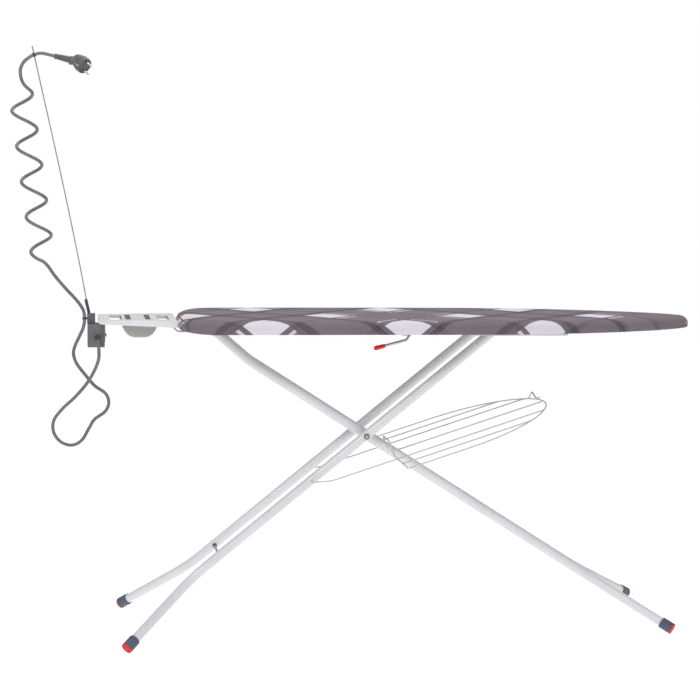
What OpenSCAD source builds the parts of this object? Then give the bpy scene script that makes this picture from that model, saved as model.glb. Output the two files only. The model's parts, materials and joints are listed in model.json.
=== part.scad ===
// Folding ironing board with an iron rest, a mains socket, a cord holder and a wire laundry rack.
// X runs from the iron rest at -X to the nose at +X, Y across the board, Z up from the floor.
// Shapes are drawn from the heel of the board (X = 0 there) and shifted so that the box is centred.

/* [Board] */
// Length of the covered board, heel to nose
board_l = 1220; // [1100:10:1300]
// Width of the covered board
board_w = 396; // [360:2:420]
// Height of the ironing surface above the floor
board_z = 733; // [725:1:740]
// Depth of the cover's side, from the top to its lower hem
side_h = 27; // [24:1:30]
// Thickness of the felt pad
pad_t = 8; // [5:1:9]
// Length of the rounded heel
heel_len = 90; // [70:5:120]
// Where the sides begin to run in towards the nose
taper_x = 700; // [650:10:750]

/* [Legs] */
// Outer diameter of the leg tubes
tube_d = 22; // [20:1:24]
// Wall of the leg tubes
tube_wall = 1.2; // [1:0.1:1.6]
// Scissor bolt, distance from the heel
pivot_x = 432; // [425:1:440]
// Scissor bolt, height
pivot_z = 459; // [455:1:463]
// Hinge of the inner legs, distance from the heel
hinge_x = 87; // [85:1:90]
// Hinge of the inner legs, height
hinge_z = 697; // [696:0.5:698]
// Sliding crossbar of the outer legs, distance from the heel
bar_x = 730.8; // [725:0.1:735]
// Sliding crossbar of the outer legs, height
bar_z = 703; // [702:0.5:704]
// Half the distance between the inner tubes
inner_y = 28; // [27:0.5:29]
// Half the distance between the outer tubes
outer_y = 61; // [60:0.5:62]
// Foot of the outer legs, distance from the heel
outer_foot_x = -120; // [-130:1:-110]
// Half the spread of the outer feet
outer_foot_y = 200; // [185:1:205]
// Foot of the inner legs, distance from the heel
inner_foot_x = 1147; // [1135:1:1160]
// Half the spread of the inner feet
inner_foot_y = 175; // [165:1:195]
// Radius of the bends in the tubes
bend_r = 150; // [100:10:170]

/* [Laundry rack] */
// Half the width of the rack
rack_half_w = 216; // [190:2:225]
// Length of the rack in its own plane
rack_l = 386; // [376:2:396]
// Slope of the rack in degrees
rack_slope = 17.87; // [17.5:0.01:18.2]
// Diameter of the rack's wire
wire_d = 3.5; // [3:0.5:4]

/* [Iron rest] */
// How far the rest reaches out from the heel
rest_reach = 177; // [170:1:180]
// Half the width of the rest at its outer end
rest_outer_y = 82; // [78:1:90]
// Half the width of the rest at the board
rest_inner_y = 104; // [98:1:110]
// Thickness of the rest's sheet
rest_t = 1.5; // [1:0.25:2]

/* [Mains socket] */
// Length of the socket box along X
box_l = 38; // [36:1:38]
// Width of the socket box along Y
box_w = 56; // [54:1:60]
// Height of the socket box
box_h = 52; // [50:1:54]
// Diameter of the plug recess
recess_d = 39.2; // [39:0.1:40]
// Depth of the plug recess
recess_depth = 17.5; // [15:0.5:18]
// Diameter of the mains cord
cord_d = 7.5; // [6:0.5:8]

/* [Hidden] */
$fn = 48;

near = -1;
far = 1;
eps = 0.01;
fit = 0.05;
gap = 0.3;

rod_tip = [-322, 0, 1331];
centre_x = (board_l + rod_tip.x - 2) / 2;

// ---- vectors and frames ----
function unit(v) = v / norm(v);
function mirror_y(p, side) = [p.x, side * p.y, p.z];

module frame_at(o, x, y, z)
    multmatrix([[x.x, y.x, z.x, o.x], [x.y, y.y, z.y, o.y], [x.z, y.z, z.z, o.z], [0, 0, 0, 1]])
        children();

// A shape along +Z, laid from a towards b
module along(a, b) {
    z = unit(b - a);
    x = unit(cross(abs(z.y) < 0.9 ? [0, 1, 0] : [1, 0, 0], z));
    frame_at(a, x, cross(z, x), z) children();
}

module rod(a, b, r) along(a, b) cylinder(h = norm(b - a), r = r);

module across(x, z, y0, y1, r) translate([x, y0, z]) rotate([-90, 0, 0]) cylinder(h = y1 - y0, r = r);

module box(lo, hi) translate(lo) cube(hi - lo);

// A flat outline drawn in X and Z, given thickness along Y
module plate_xz(y0, y1) translate([0, y1, 0]) rotate([90, 0, 0]) linear_extrude(y1 - y0) children();

// ---- a round bar along a path, with true bends ----
function turn_at(p, i) = acos(unit(p[i] - p[i - 1]) * unit(p[i + 1] - p[i]));
function cut_at(p, i, r) = i == 0 || i == len(p) - 1 ? 0 : r * tan(turn_at(p, i) / 2);

// Each straight runs a little way into the bends, which are a hair thicker
swell = 0.04;
function bend_lap(bend) = 0.1 * sqrt(bend);

module bent_bar(p, r, bend, bore = 0) {
    last = len(p) - 1;
    lap = bend_lap(bend);
    for (i = [0 : last - 1]) {
        u = unit(p[i + 1] - p[i]);
        a = p[i] + u * (i == 0 ? 0 : cut_at(p, i, bend) - lap);
        b = p[i + 1] - u * (i == last - 1 ? 0 : cut_at(p, i + 1, bend) - lap);
        difference() {
            rod(a, b, r);
            if (bore > 0) rod(a - u, b + u, bore);
        }
    }
    if (last > 1) for (i = [1 : last - 1]) {
        u = unit(p[i] - p[i - 1]);
        v = unit(p[i + 1] - p[i]);
        w = unit(cross(u, v));
        n = cross(w, u);
        frame_at(p[i] - u * cut_at(p, i, bend) + n * bend, -n, u, w)
            rotate_extrude(angle = turn_at(p, i)) translate([bend, 0]) difference() {
                circle(r = r + swell);
                if (bore > 0) circle(r = bore - swell);
            }
    }
}

// ---- a round bar swept through points ----
function tangents(p) = [for (i = [0 : len(p) - 1])
    unit(p[min(i + 1, len(p) - 1)] - p[max(i - 1, 0)])];
function carried(t, i, n) = i == len(t) ? [] :
    let (m = unit(n - (n * t[i]) * t[i])) concat([m], carried(t, i + 1, m));

module sweep(p, r, sides, side_start = [1, 0.2, 0.3]) {
    t = tangents(p);
    m = carried(t, 0, side_start);
    n = len(p);
    polyhedron(
        points = [for (i = [0 : n - 1]) for (k = [0 : sides - 1])
            p[i] + r * (cos(360 * k / sides) * m[i] + sin(360 * k / sides) * cross(t[i], m[i]))],
        faces = concat(
            [[for (k = [0 : sides - 1]) k]],
            [for (i = [0 : n - 2]) for (k = [0 : sides - 1]) let (j = (k + 1) % sides)
                [i * sides + k, (i + 1) * sides + k, (i + 1) * sides + j, i * sides + j]],
            [[for (k = [sides - 1 : -1 : 0]) (n - 1) * sides + k]]),
        convexity = 10);
}

// ---- board ----
panel_top = board_z - 1.2 - pad_t;
panel_t = 1.5;
panel_under = panel_top - panel_t;
hem_z = board_z - side_h;
rim_r = 5;
nose_power = 1.6;
nose_round = 1.7;
heel_power = 2.6;
outline_steps = 18;

function half_width(x, inset) = let (w = board_w / 2 - inset, l = board_l - inset)
    x < heel_len
        ? w * pow(max(0, 1 - pow(1 - (x - inset) / (heel_len - inset), heel_power)), 1 / heel_power)
        : x < taper_x ? w
        : w * pow(max(0, 1 - pow((x - taper_x) / (l - taper_x), nose_power)), 1 / nose_round);
function edge_steps(inset) = concat(
    [for (i = [0 : outline_steps]) inset + (heel_len - inset) * (1 - cos(90 * i / outline_steps))],
    [for (i = [0 : outline_steps]) taper_x + (board_l - inset - taper_x) * sin(90 * i / outline_steps)]);
function edge(inset, side) = [for (x = edge_steps(inset)) [x, side * half_width(x, inset)]];
function reversed(p) = [for (i = [len(p) - 1 : -1 : 0]) p[i]];

module outline(inset) polygon(concat(edge(inset, near), reversed(edge(inset, far))));

module slab(z0, z1, inset) translate([0, 0, z0]) linear_extrude(z1 - z0) outline(inset);

module board_panel() color("lightgrey") slab(panel_under, panel_top, 4);

rim_inset = 9.5;
rim_join = 0.5;
module board_rim(side) color("silver") {
    p = [for (q = edge(rim_inset, side)) if (abs(q.y) > rim_r / 2) [q.x, q.y, panel_under - rim_r - eps]];
    sweep(concat([[rim_inset, side * rim_join, p[0].z]], p, [[board_l - rim_inset, side * rim_join, p[0].z]]),
        rim_r, 8, [0, 0, 1]);
}
module board_rim_near() board_rim(near);
module board_rim_far() board_rim(far);

module felt_pad() color("gainsboro") slab(panel_top, panel_top + pad_t, 3);

cover_t = 1;
hem_w = 32;
module cover() color([0.45, 0.40, 0.43]) difference() {
    slab(hem_z, board_z, 0);
    slab(hem_z + cover_t, panel_top + pad_t + gap / 2, cover_t);
    slab(hem_z - 1, hem_z + 2, hem_w);
}

// ---- fittings under the board ----
sheet_t = 2;
ear_gap = 2.5;
ear_y = inner_y + tube_d / 2 + ear_gap;
hinge_pin_r = 4;

module hinge_bracket(side) color("silver") difference() {
    mirror([0, side < 0 ? 1 : 0, 0]) {
        plate_xz(ear_y, ear_y + sheet_t)
            polygon([[hinge_x - 22, panel_under], [hinge_x - 10, hinge_z - 9], [hinge_x + 10, hinge_z - 9],
                [hinge_x + 22, panel_under]]);
        box([hinge_x - 22, ear_y + sheet_t - eps, panel_under - sheet_t], [hinge_x + 22, ear_y + 24, panel_under]);
    }
    across(hinge_x, hinge_z, -80, 80, hinge_pin_r + fit);
}
module hinge_bracket_near() hinge_bracket(near);
module hinge_bracket_far() hinge_bracket(far);

module hinge_pin() color("silver") {
    across(hinge_x, hinge_z, -ear_y - 5, ear_y + 5, hinge_pin_r);
    for (s = [near, far]) across(hinge_x, hinge_z, s * (ear_y + 6) - 2, s * (ear_y + 6) + 2, 6);
}

roller_r = 6.5;
rail_x0 = 676;
rail_x1 = 900;
rail_y = 86;
lip = 10;
rail_play = 1.7;
rail_floor = bar_z - roller_r - rail_play;
rail_roof = bar_z + roller_r + rail_play;

module guide_rail(side) color("whitesmoke") mirror([0, side < 0 ? 1 : 0, 0]) {
    box([rail_x0, rail_y, rail_floor - sheet_t], [rail_x1, rail_y + sheet_t, panel_under]);
    box([rail_x0, rail_y - lip, rail_floor - sheet_t], [rail_x1, rail_y + eps, rail_floor]);
    box([rail_x0, rail_y - lip, rail_roof], [rail_x1, rail_y + eps, rail_roof + sheet_t]);
    box([rail_x0, rail_y + sheet_t - eps, panel_under - sheet_t], [rail_x1, rail_y + 18, panel_under]);
}
module guide_rail_near() guide_rail(near);
module guide_rail_far() guide_rail(far);

// ---- height lever ----
lever_x = 521;
lever_z = 699;
lever_r = 3.3;
lever_y0 = -110;
lever_y1 = 52;
comb_y = 14;
comb_t = 2;
lever_bracket_y = [-72, 40];

module lever_bracket(y) color("silver") difference() {
    union() {
        box([lever_x - 10, y - 1, lever_z - 8], [lever_x + 10, y + 1, panel_under]);
        box([lever_x - 10, y + 1 - eps, panel_under - sheet_t], [lever_x + 10, y + 16, panel_under]);
    }
    across(lever_x, lever_z, y - 5, y + 5, lever_r + fit);
}
module lever_bracket_near() lever_bracket(lever_bracket_y[0]);
module lever_bracket_far() lever_bracket(lever_bracket_y[1]);

rivet_r = 3;
rivet_h = 1.2;
module rivets(x, y) for (s = [near, far])
    translate([x, s * y, panel_under - sheet_t - rivet_h]) cylinder(h = rivet_h, r = rivet_r);
module bracket_rivets() color("silver") {
    for (dx = [-14, 14]) rivets(hinge_x + dx, ear_y + 14);
    for (x = [rail_x0 + 20 : (rail_x1 - rail_x0 - 40) / 3 : rail_x1 - 19]) rivets(x, rail_y + 10);
}

grip_a = [465, lever_y0, 673];
grip_b = [444, lever_y0, 667.5];
grip_r = 5.2;
knee_reach = 52;
module lever_rod() color("silver")
    bent_bar([[lever_x, lever_y1, lever_z], [lever_x, lever_y0, lever_z],
        grip_a + unit(grip_a - grip_b) * knee_reach, grip_b + (grip_a - grip_b) / 5], lever_r, 6);
module lever_grip() color("red") difference() {
    union() {
        rod(grip_b, grip_a, grip_r);
        translate(grip_b) sphere(r = grip_r);
    }
    rod(grip_b + (grip_a - grip_b) / 5 - unit(grip_a - grip_b) * fit, grip_a * 2 - grip_b, lever_r + fit);
}

comb_tip = 695.6;
comb_under = 685;
tooth_pitch = 19;
tooth_count = 6;
comb_x0 = bar_x - 2.5 * tooth_pitch + 9.5;
module latch_comb() color("lightgrey") difference() {
    plate_xz(comb_y - comb_t / 2, comb_y + comb_t / 2) polygon(concat(
        [[lever_x - 7, lever_z + 6], [lever_x - 7, lever_z - 6], [568, comb_under],
            [comb_x0 + tooth_count * tooth_pitch + 8, comb_under],
            [comb_x0 + tooth_count * tooth_pitch + 8, comb_tip]],
        [for (i = [tooth_count : -1 : 1]) for (q = [[-1, 0], [-4, -5], [-15, -5], [-18, 0]])
            [comb_x0 + i * tooth_pitch + q.x, comb_tip + q.y]],
        [[comb_x0 - 8, comb_tip], [585, comb_tip], [lever_x + 8, lever_z + 6]]));
    across(lever_x, lever_z, comb_y - 5, comb_y + 5, lever_r + fit / 2);
}

spring_turns = 5;
spring_r = 5.2;
spring_pitch = 2.8;
spring_y = -66;
module lever_spring() color("silver") sweep(concat(
    [[lever_x + 16, spring_y, lever_z + 12]],
    [for (i = [0 : spring_turns * 10]) let (a = 36 * i)
        [lever_x + spring_r * cos(a), spring_y + spring_pitch * i / 10, lever_z + spring_r * sin(a)]],
    [[lever_x + 18, spring_y + spring_pitch * spring_turns, lever_z + 1]]), 0.9, 6, [0, 1, 0.1]);

// ---- legs ----
function leg_z(x, x0, z0, x1, z1) = z0 + (x - x0) * (z1 - z0) / (x1 - x0);
foot_r = 13.4;
foot_l = 31;
foot_wall = 3;
foot_pad_t = 3;
inner_knee_x = 167;
inner_slope = tan(32.5);
inner_splay_x = 965;
outer_splay_x = 35;
function on_inner(x) = pivot_z - (x - pivot_x) * inner_slope;
function on_outer(x) = leg_z(x, pivot_x, pivot_z, bar_x, bar_z);

// The foot's centre stands so high that the lowest point of its red pad touches the floor
function foot_drop(from, x, y, z) = let (d = unit([x, y, z] - from)) foot_r * sqrt(1 - d.z * d.z);
function foot_at(from, x, y, z, n) = n == 0 ? [x, y, z] : foot_at(from, x, y, foot_drop(from, x, y, z), n - 1);

inner_splay = [inner_splay_x, inner_y, on_inner(inner_splay_x)];
outer_splay = [outer_splay_x, outer_y, on_outer(outer_splay_x)];
inner_foot = foot_at(inner_splay, inner_foot_x, inner_foot_y, foot_r, 5);
outer_foot = foot_at(outer_splay, outer_foot_x, outer_foot_y, foot_r, 5);
inner_dir = unit(inner_foot - inner_splay);
outer_dir = unit(outer_foot - outer_splay);
tube_back = foot_wall + foot_pad_t;

knee = [inner_knee_x, inner_y, on_inner(inner_knee_x)];
hinge_point = [hinge_x, inner_y, hinge_z];
inner_path = [hinge_point + unit(hinge_point - knee) * 8, knee, inner_splay, inner_foot - inner_dir * tube_back];
bar_point = [bar_x, outer_y, bar_z];
outer_path = [bar_point + unit(bar_point - outer_splay) * 13, outer_splay, outer_foot - outer_dir * tube_back];
pivot_r = 4;
bar_r = 5;
spreader_r = 3;
inner_spreader_x = 930;
outer_spreader_x = 95;
outer_hook_x = 306;

module inner_leg(side) color("whitesmoke") difference() {
    bent_bar([for (p = inner_path) mirror_y(p, side)], tube_d / 2, bend_r, tube_d / 2 - tube_wall);
    across(hinge_x, hinge_z, -60, 60, hinge_pin_r + fit);
    across(pivot_x, pivot_z, -60, 60, pivot_r + fit);
    across(inner_spreader_x, on_inner(inner_spreader_x), -60, 60, spreader_r + fit);
}
module inner_leg_near() inner_leg(near);
module inner_leg_far() inner_leg(far);

module outer_leg(side) color("whitesmoke") difference() {
    bent_bar([for (p = outer_path) mirror_y(p, side)], tube_d / 2, bend_r, tube_d / 2 - tube_wall);
    across(bar_x, bar_z, -90, 90, bar_r + fit);
    across(pivot_x, pivot_z, -90, 90, pivot_r + fit);
    across(outer_spreader_x, on_outer(outer_spreader_x), -90, 90, spreader_r + fit);
    across(outer_hook_x, on_outer(outer_hook_x), side > 0 ? outer_y : -90, side > 0 ? 90 : -outer_y, wire_d / 2 + 0.1);
}
module outer_leg_near() outer_leg(near);
module outer_leg_far() outer_leg(far);

module inner_spreader() color("silver")
    across(inner_spreader_x, on_inner(inner_spreader_x), -inner_y - 10, inner_y + 10, spreader_r);
module outer_spreader() color("silver")
    across(outer_spreader_x, on_outer(outer_spreader_x), -outer_y - 10, outer_y + 10, spreader_r);

bolt_half = outer_y + tube_d / 2 + 8;
module pivot_bolt() color("dimgrey") across(pivot_x, pivot_z, -bolt_half, bolt_half, pivot_r);
washer_y = outer_y + tube_d / 2 + gap;
washer_t = 1.5;
nut_t = 5;
module pair_across(y0, y1, r_in, r_out) for (s = [near, far]) difference() {
    across(pivot_x, pivot_z, min(s * y0, s * y1), max(s * y0, s * y1), r_out);
    across(pivot_x, pivot_z, -100, 100, r_in);
}
module pivot_washers() color("white") pair_across(washer_y, washer_y + washer_t, pivot_r + fit, 9);
module pivot_nuts() color("dimgrey") for (s = [near, far]) difference() {
    y0 = s > 0 ? washer_y + washer_t : -washer_y - washer_t - nut_t;
    translate([pivot_x, y0, pivot_z]) rotate([-90, 0, 0]) cylinder(h = nut_t, r = 7, $fn = 6);
    across(pivot_x, pivot_z, -100, 100, pivot_r + fit);
}
module pivot_spacers() color("white") {
    pair_across(inner_y + tube_d / 2 + gap, outer_y - tube_d / 2 - gap, pivot_r + fit, 8);
    difference() {
        across(pivot_x, pivot_z, -inner_y + tube_d / 2 + gap, inner_y - tube_d / 2 - gap, 8);
        across(pivot_x, pivot_z, -100, 100, pivot_r + fit);
    }
}

module crossbar() color("silver") across(bar_x, bar_z, -rail_y + 2, rail_y - 2, bar_r);
module slide_rollers() color("white") for (s = [near, far]) difference() {
    across(bar_x, bar_z, s > 0 ? rail_y - lip : -rail_y + 2, s > 0 ? rail_y - 2 : -rail_y + lip, roller_r);
    across(bar_x, bar_z, -100, 100, bar_r + fit);
}

// ---- feet ----
module foot_cap(foot, dir, side) color([0.39, 0.43, 0.50]) {
    f = mirror_y(foot, side);
    d = mirror_y(dir, side);
    difference() {
        rod(f - d * foot_l, f - d * foot_pad_t, foot_r - 0.2);
        rod(f - d * (foot_l + 1), f - d * tube_back, tube_d / 2 + fit);
    }
}
module foot_pad(foot, dir, side) color("red") {
    f = mirror_y(foot, side);
    rod(f - mirror_y(dir, side) * foot_pad_t, f, foot_r);
}
module outer_foot_cap_near() foot_cap(outer_foot, outer_dir, near);
module outer_foot_cap_far() foot_cap(outer_foot, outer_dir, far);
module inner_foot_cap_near() foot_cap(inner_foot, inner_dir, near);
module inner_foot_cap_far() foot_cap(inner_foot, inner_dir, far);
module outer_foot_pad_near() foot_pad(outer_foot, outer_dir, near);
module outer_foot_pad_far() foot_pad(outer_foot, outer_dir, far);
module inner_foot_pad_near() foot_pad(inner_foot, inner_dir, near);
module inner_foot_pad_far() foot_pad(inner_foot, inner_dir, far);

// ---- laundry rack, drawn flat in its own plane with s along it, then sloped ----
rack_x0 = 502;
rack_z0 = 409;
wire_r = wire_d / 2;
rack_square = 150;
rack_round = 1.9;
saddle_rise = 34;
saddle_half = 44.5;
wire_y = [155, 92, 0, -92, -155];
arm_y = 92;
rim_steps = 14;

function on_rack(s, y, up = 0) = [rack_x0 + s * cos(rack_slope) - up * sin(rack_slope), y,
    rack_z0 + s * sin(rack_slope) + up * cos(rack_slope)];
function rim_half(s) = s < rack_square ? rack_half_w
    : rack_half_w * pow(max(0, 1 - pow((s - rack_square) / (rack_l - rack_square), 2)), 1 / rack_round);
function rim_end(y) = rack_square + (rack_l - rack_square)
    * pow(1 - pow(abs(y) / rack_half_w, rack_round), 0.5);

module rack_rim(side) color("white") sweep(concat(
    [on_rack(wire_d, side * rack_half_w), on_rack(rack_square, side * rack_half_w)],
    [for (i = [1 : rim_steps - 1]) let (s = rack_square + (rack_l - rack_square) * sin(90 * i / rim_steps))
        on_rack(s, side * rim_half(s))],
    [on_rack(rack_l, side * gap / 2)]), wire_r, 8, [0, 0, 1]);
module rack_rim_near() rack_rim(near);
module rack_rim_far() rack_rim(far);

// The cross wire at the legs climbs over the inner tubes and passes under the outer ones
module rack_saddle() color("white") {
    half = [[0, saddle_rise], [saddle_half - 6, saddle_rise], [saddle_half, saddle_rise - 6],
        [saddle_half, 5], [saddle_half + 4.5, 0], [rack_half_w + wire_r, 0]];
    sweep(concat([for (i = [len(half) - 1 : -1 : 1]) on_rack(0, -half[i].x, half[i].y)],
        [for (q = half) on_rack(0, q.x, q.y)]), wire_r, 8, [1, 0, 0]);
}

module rack_wires() color("white") for (y = wire_y)
    rod(on_rack(wire_r + (y == 0 ? 4 : 0), y), on_rack(rim_end(y) - wire_d, y), wire_r);

hook_point = [outer_hook_x, outer_y + 6, on_outer(outer_hook_x)];
module rack_arm(side) color("white") {
    arm_start = on_rack(-wire_r - gap, arm_y);
    arm_foot = [350, arm_y, arm_start.z - (arm_start.x - 350) * tan(rack_slope)];
    bent_bar([for (q = [arm_start, arm_foot, [outer_hook_x, arm_y - 6, hook_point.z], hook_point])
        mirror_y(q, side)], wire_r, 5);
}
module rack_arm_near() rack_arm(near);
module rack_arm_far() rack_arm(far);

module rack_end_loop() color("silver") sweep([for (q = [[-2, 70, 3.6], [-3, 60, 10], [-4, 50, 18], [-5, 42, 18],
    [-5, 34, 8], [-3, 26, 4], [-2, 18, 8]]) on_rack(rim_end(q.y) + q.x, q.y, q.z)], wire_r, 8, [1, 0, 0]);

// ---- iron rest ----
rest_top = 727;
rest_end = -4;
flange_h = 14;
flange_end_h = 8.5;
slot_l = 118;
slot_w = 27;
slot_at = [-139, -32];
strip_w = 11.5;
strip_l = 96;
strip_at = [-111, -67];
strip_h = 2;

module rest_outline(inset) polygon([for (s = [near, far]) for (q = s < 0
    ? [[-rest_reach + inset, rest_outer_y - 8], [-rest_reach + 8, rest_outer_y - inset], [rest_end, rest_inner_y - inset]]
    : [[rest_end, rest_inner_y - inset], [-rest_reach + 8, rest_outer_y - inset], [-rest_reach + inset, rest_outer_y - 8]])
        [q.x, s * q.y]]);

module rest_slot(x) translate([x, 0]) {
    square([slot_w, slot_l - slot_w], center = true);
    for (s = [near, far]) translate([0, s * (slot_l - slot_w) / 2]) circle(d = slot_w);
}

module rest_plate() color("white") difference() {
    union() {
        translate([0, 0, rest_top - rest_t]) linear_extrude(rest_t) rest_outline(0);
        translate([0, 0, rest_top - flange_h]) linear_extrude(flange_h - rest_t + eps) difference() {
            rest_outline(0);
            rest_outline(rest_t);
            translate([rest_end - 1, -150]) square([20, 300]);
        }
    }
    translate([0, 0, rest_top - 5]) linear_extrude(10) for (x = slot_at) rest_slot(x);
    plate_xz(-rest_inner_y - 1, rest_inner_y + 1) polygon([[-rest_reach - 1, rest_top - flange_end_h],
        [rest_end + 1, rest_top - flange_h], [rest_end + 1, rest_top - flange_h - 1],
        [-rest_reach - 1, rest_top - flange_h - 1]]);
}

module rest_strips() color([0.35, 0.35, 0.37]) for (x = strip_at)
    box([x - strip_w / 2, -strip_l / 2, rest_top], [x + strip_w / 2, strip_l / 2, rest_top + strip_h]);

pan_x = -86;
pan_half = 62;
pan_wall = 1.5;
// The pan's section from its mouth to its floor, as distance from the middle and height
pan_curve = [[43, rest_top - rest_t], [38.5, 711], [34, 702], [28, 694.5], [20.5, 689.5], [12, 687.5]];
function pan_side(inset) = [for (q = pan_curve) [q.x - inset, q.y == pan_curve[0].y ? q.y + inset : q.y + inset * 0.7]];
module pan_profile(inset) translate([pan_x, 0])
    polygon(concat([for (q = pan_side(inset)) [-q.x, q.y]], reversed(pan_side(inset))));
module rest_pan() color([0.66, 0.65, 0.64]) difference() {
    plate_xz(-pan_half, pan_half) pan_profile(0);
    plate_xz(-pan_half + pan_wall, pan_half - pan_wall) pan_profile(pan_wall);
}

rail_bar_t = 3;
rail_bar_w = 12;
rest_rail_y = 86;
module rest_rail(side) color("silver") plate_xz(side * rest_rail_y - rail_bar_w / 2, side * rest_rail_y + rail_bar_w / 2) {
    over = rest_top - rest_t;
    dip = hem_z - 1;
    polygon([[-42, over], [-24, over], [-2, dip], [52, dip], [68, panel_under], [112, panel_under],
        [112, panel_under - rail_bar_t], [70, panel_under - rail_bar_t], [53, dip - rail_bar_t],
        [-4, dip - rail_bar_t], [-26, over - rail_bar_t], [-42, over - rail_bar_t]]);
}
module rest_rail_near() rest_rail(near);
module rest_rail_far() rest_rail(far);

// ---- mains socket ----
box_x1 = -163;
box_x0 = box_x1 - box_l;
box_z0 = 661;
box_z1 = box_z0 + box_h;
recess_z = (box_z0 + box_z1) / 2;
tab_half = 21;
module socket_tab() color("white") difference() {
    box([box_x1, -tab_half, recess_z - 14], [box_x1 + rest_t, tab_half, rest_top - rest_t]);
    translate([box_x1 - 1, 0, recess_z]) rotate([0, 90, 0]) cylinder(h = 5, r = 2 + fit);
}
module socket_screw() color("dimgrey") translate([box_x1, 0, recess_z]) rotate([0, 90, 0]) {
    translate([0, 0, -8]) cylinder(h = 8 + rest_t + eps, r = 2);
    translate([0, 0, rest_t]) cylinder(h = 3, r = 4);
}

box_round = 4;
contact_dy = 9.5;
contact_r = 2.5;
contact_depth = 32;
module socket_box() color([0.42, 0.42, 0.44]) difference() {
    translate([box_x0, 0, recess_z]) rotate([90, 0, 90]) linear_extrude(box_l) union() {
        square([box_w - 2 * box_round, box_h], center = true);
        square([box_w, box_h - 2 * box_round], center = true);
        for (y = [-1, 1]) for (z = [-1, 1])
            translate([y * (box_w / 2 - box_round), z * (box_h / 2 - box_round)]) circle(r = box_round);
    }
    translate([box_x0 - 1, 0, recess_z]) rotate([0, 90, 0]) cylinder(h = recess_depth + 1, d = recess_d, $fn = 72);
    for (s = [near, far]) translate([box_x0, s * contact_dy, recess_z]) rotate([0, 90, 0])
        cylinder(h = contact_depth, r = contact_r);
    for (s = [near, far]) box([box_x0 + 2, -2.1, recess_z + s * 21 - 2.1], [box_x0 + recess_depth, 2.1, recess_z + s * 21 + 2.1]);
    translate([box_x1 - 9, 0, recess_z]) rotate([0, 90, 0]) cylinder(h = 10, r = 2 + fit);
    translate([gland_x, -box_w / 2 - 1, gland_z]) rotate([-90, 0, 0]) cylinder(h = 7, r = cord_d / 2 + 0.5);
}
clip_in = recess_d / 2 + 0.1;
module earth_clips() color("goldenrod") for (s = [near, far])
    box([box_x0 + 2.1, -2, min(s * clip_in, s * (clip_in + 1.2)) + recess_z],
        [box_x0 + recess_depth - 0.1, 2, max(s * clip_in, s * (clip_in + 1.2)) + recess_z]);

gland_x = -179;
gland_z = 683;
gland_l = 7;
gland_end = -box_w / 2 - gland_l;
module cord_gland() color([0.30, 0.30, 0.32]) translate([gland_x, -box_w / 2, gland_z]) rotate([90, 0, 0])
    cylinder(h = gland_l, r1 = 7, r2 = 5.4);

// ---- cord holder ----
foot_x = [-202, -184];
holder_top = 736;
sleeve_a = [-197.5, 0, holder_top];
sleeve_b = [-205, 0, 768];
rod_r = 1.4;
module cord_holder_foot() color([0.42, 0.42, 0.44]) difference() {
    box([foot_x[0], -9, box_z1], [foot_x[1], 9, holder_top]);
    rod(sleeve_a + (sleeve_a - sleeve_b) / 2, sleeve_a * 2 - (sleeve_a + sleeve_b) / 2 + (sleeve_b - sleeve_a), rod_r + 0.15);
}
module cord_holder_sleeve() color([0.18, 0.18, 0.19]) difference() {
    rod(sleeve_a + unit(sleeve_b - sleeve_a), sleeve_b, 3.6);
    rod(sleeve_a - (sleeve_b - sleeve_a), sleeve_b * 2 - sleeve_a, rod_r + 0.1);
}
module cord_holder_rod() color("silver") {
    rod(sleeve_a - (sleeve_b - sleeve_a) * 0.4, sleeve_b, rod_r);
    rod(sleeve_b, rod_tip, rod_r);
    translate(sleeve_b) sphere(r = rod_r);
}

// ---- mains cord: gland, hanging loop, clip, loose spiral beside the rod, tip clip, plug ----
lower_route = [
    [-179, -35, 683], [-179, -43, 683], [-179, -54, 679.5], [-178, -65, 670], [-177, -71, 656], [-178, -70, 638],
    [-187, -64, 613], [-204, -58, 583], [-230, -53, 552], [-258, -50, 525], [-277, -46, 498], [-277, -42, 470],
    [-261, -38, 448], [-237, -34, 440], [-215, -30, 450], [-199, -27, 476], [-186, -26, 497], [-162, -25, 515],
    [-154, -26, 536], [-162, -28, 557], [-186, -32, 575], [-207, -33, 600], [-226, -36, 626], [-233, -36, 648],
    [-229, -36, 667], [-219, -28, 688], [-211, -21, 706], [-208, -10, 725], [-211, -4, 744], [-224, -2, 764],
    [-243, -5, 785], [-262, -12, 807], [-276, -19, 825], [-288, -24, 843]
];
spiral_turns = 4.875;
spiral_steps = 8;
spiral_r = 25;
spiral_a = [-299, 0, 854];
spiral_b = [-348, 0, 1236];
spiral_start = 270;
spiral_route = [for (i = [0 : spiral_turns * spiral_steps]) let (a = spiral_start - 360 * i / spiral_steps)
    spiral_a + (spiral_b - spiral_a) * i / (spiral_turns * spiral_steps) + spiral_r * [cos(a), sin(a), 0]];
upper_route = [
    [-338, -23, 1243], [-344, -25, 1253], [-347, -24, 1266], [-347, -20, 1279], [-341, -14, 1293],
    [-331, -9, 1303], [-318, -6.5, 1311], [-303, -4, 1315], [-288, 0, 1313.03], [-272, 0, 1309.5]
];
route = concat(lower_route, spiral_route, upper_route);

module cord() color([0.38, 0.38, 0.40]) sweep(route, cord_d / 2, 8, [1, 0, 0]);

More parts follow.
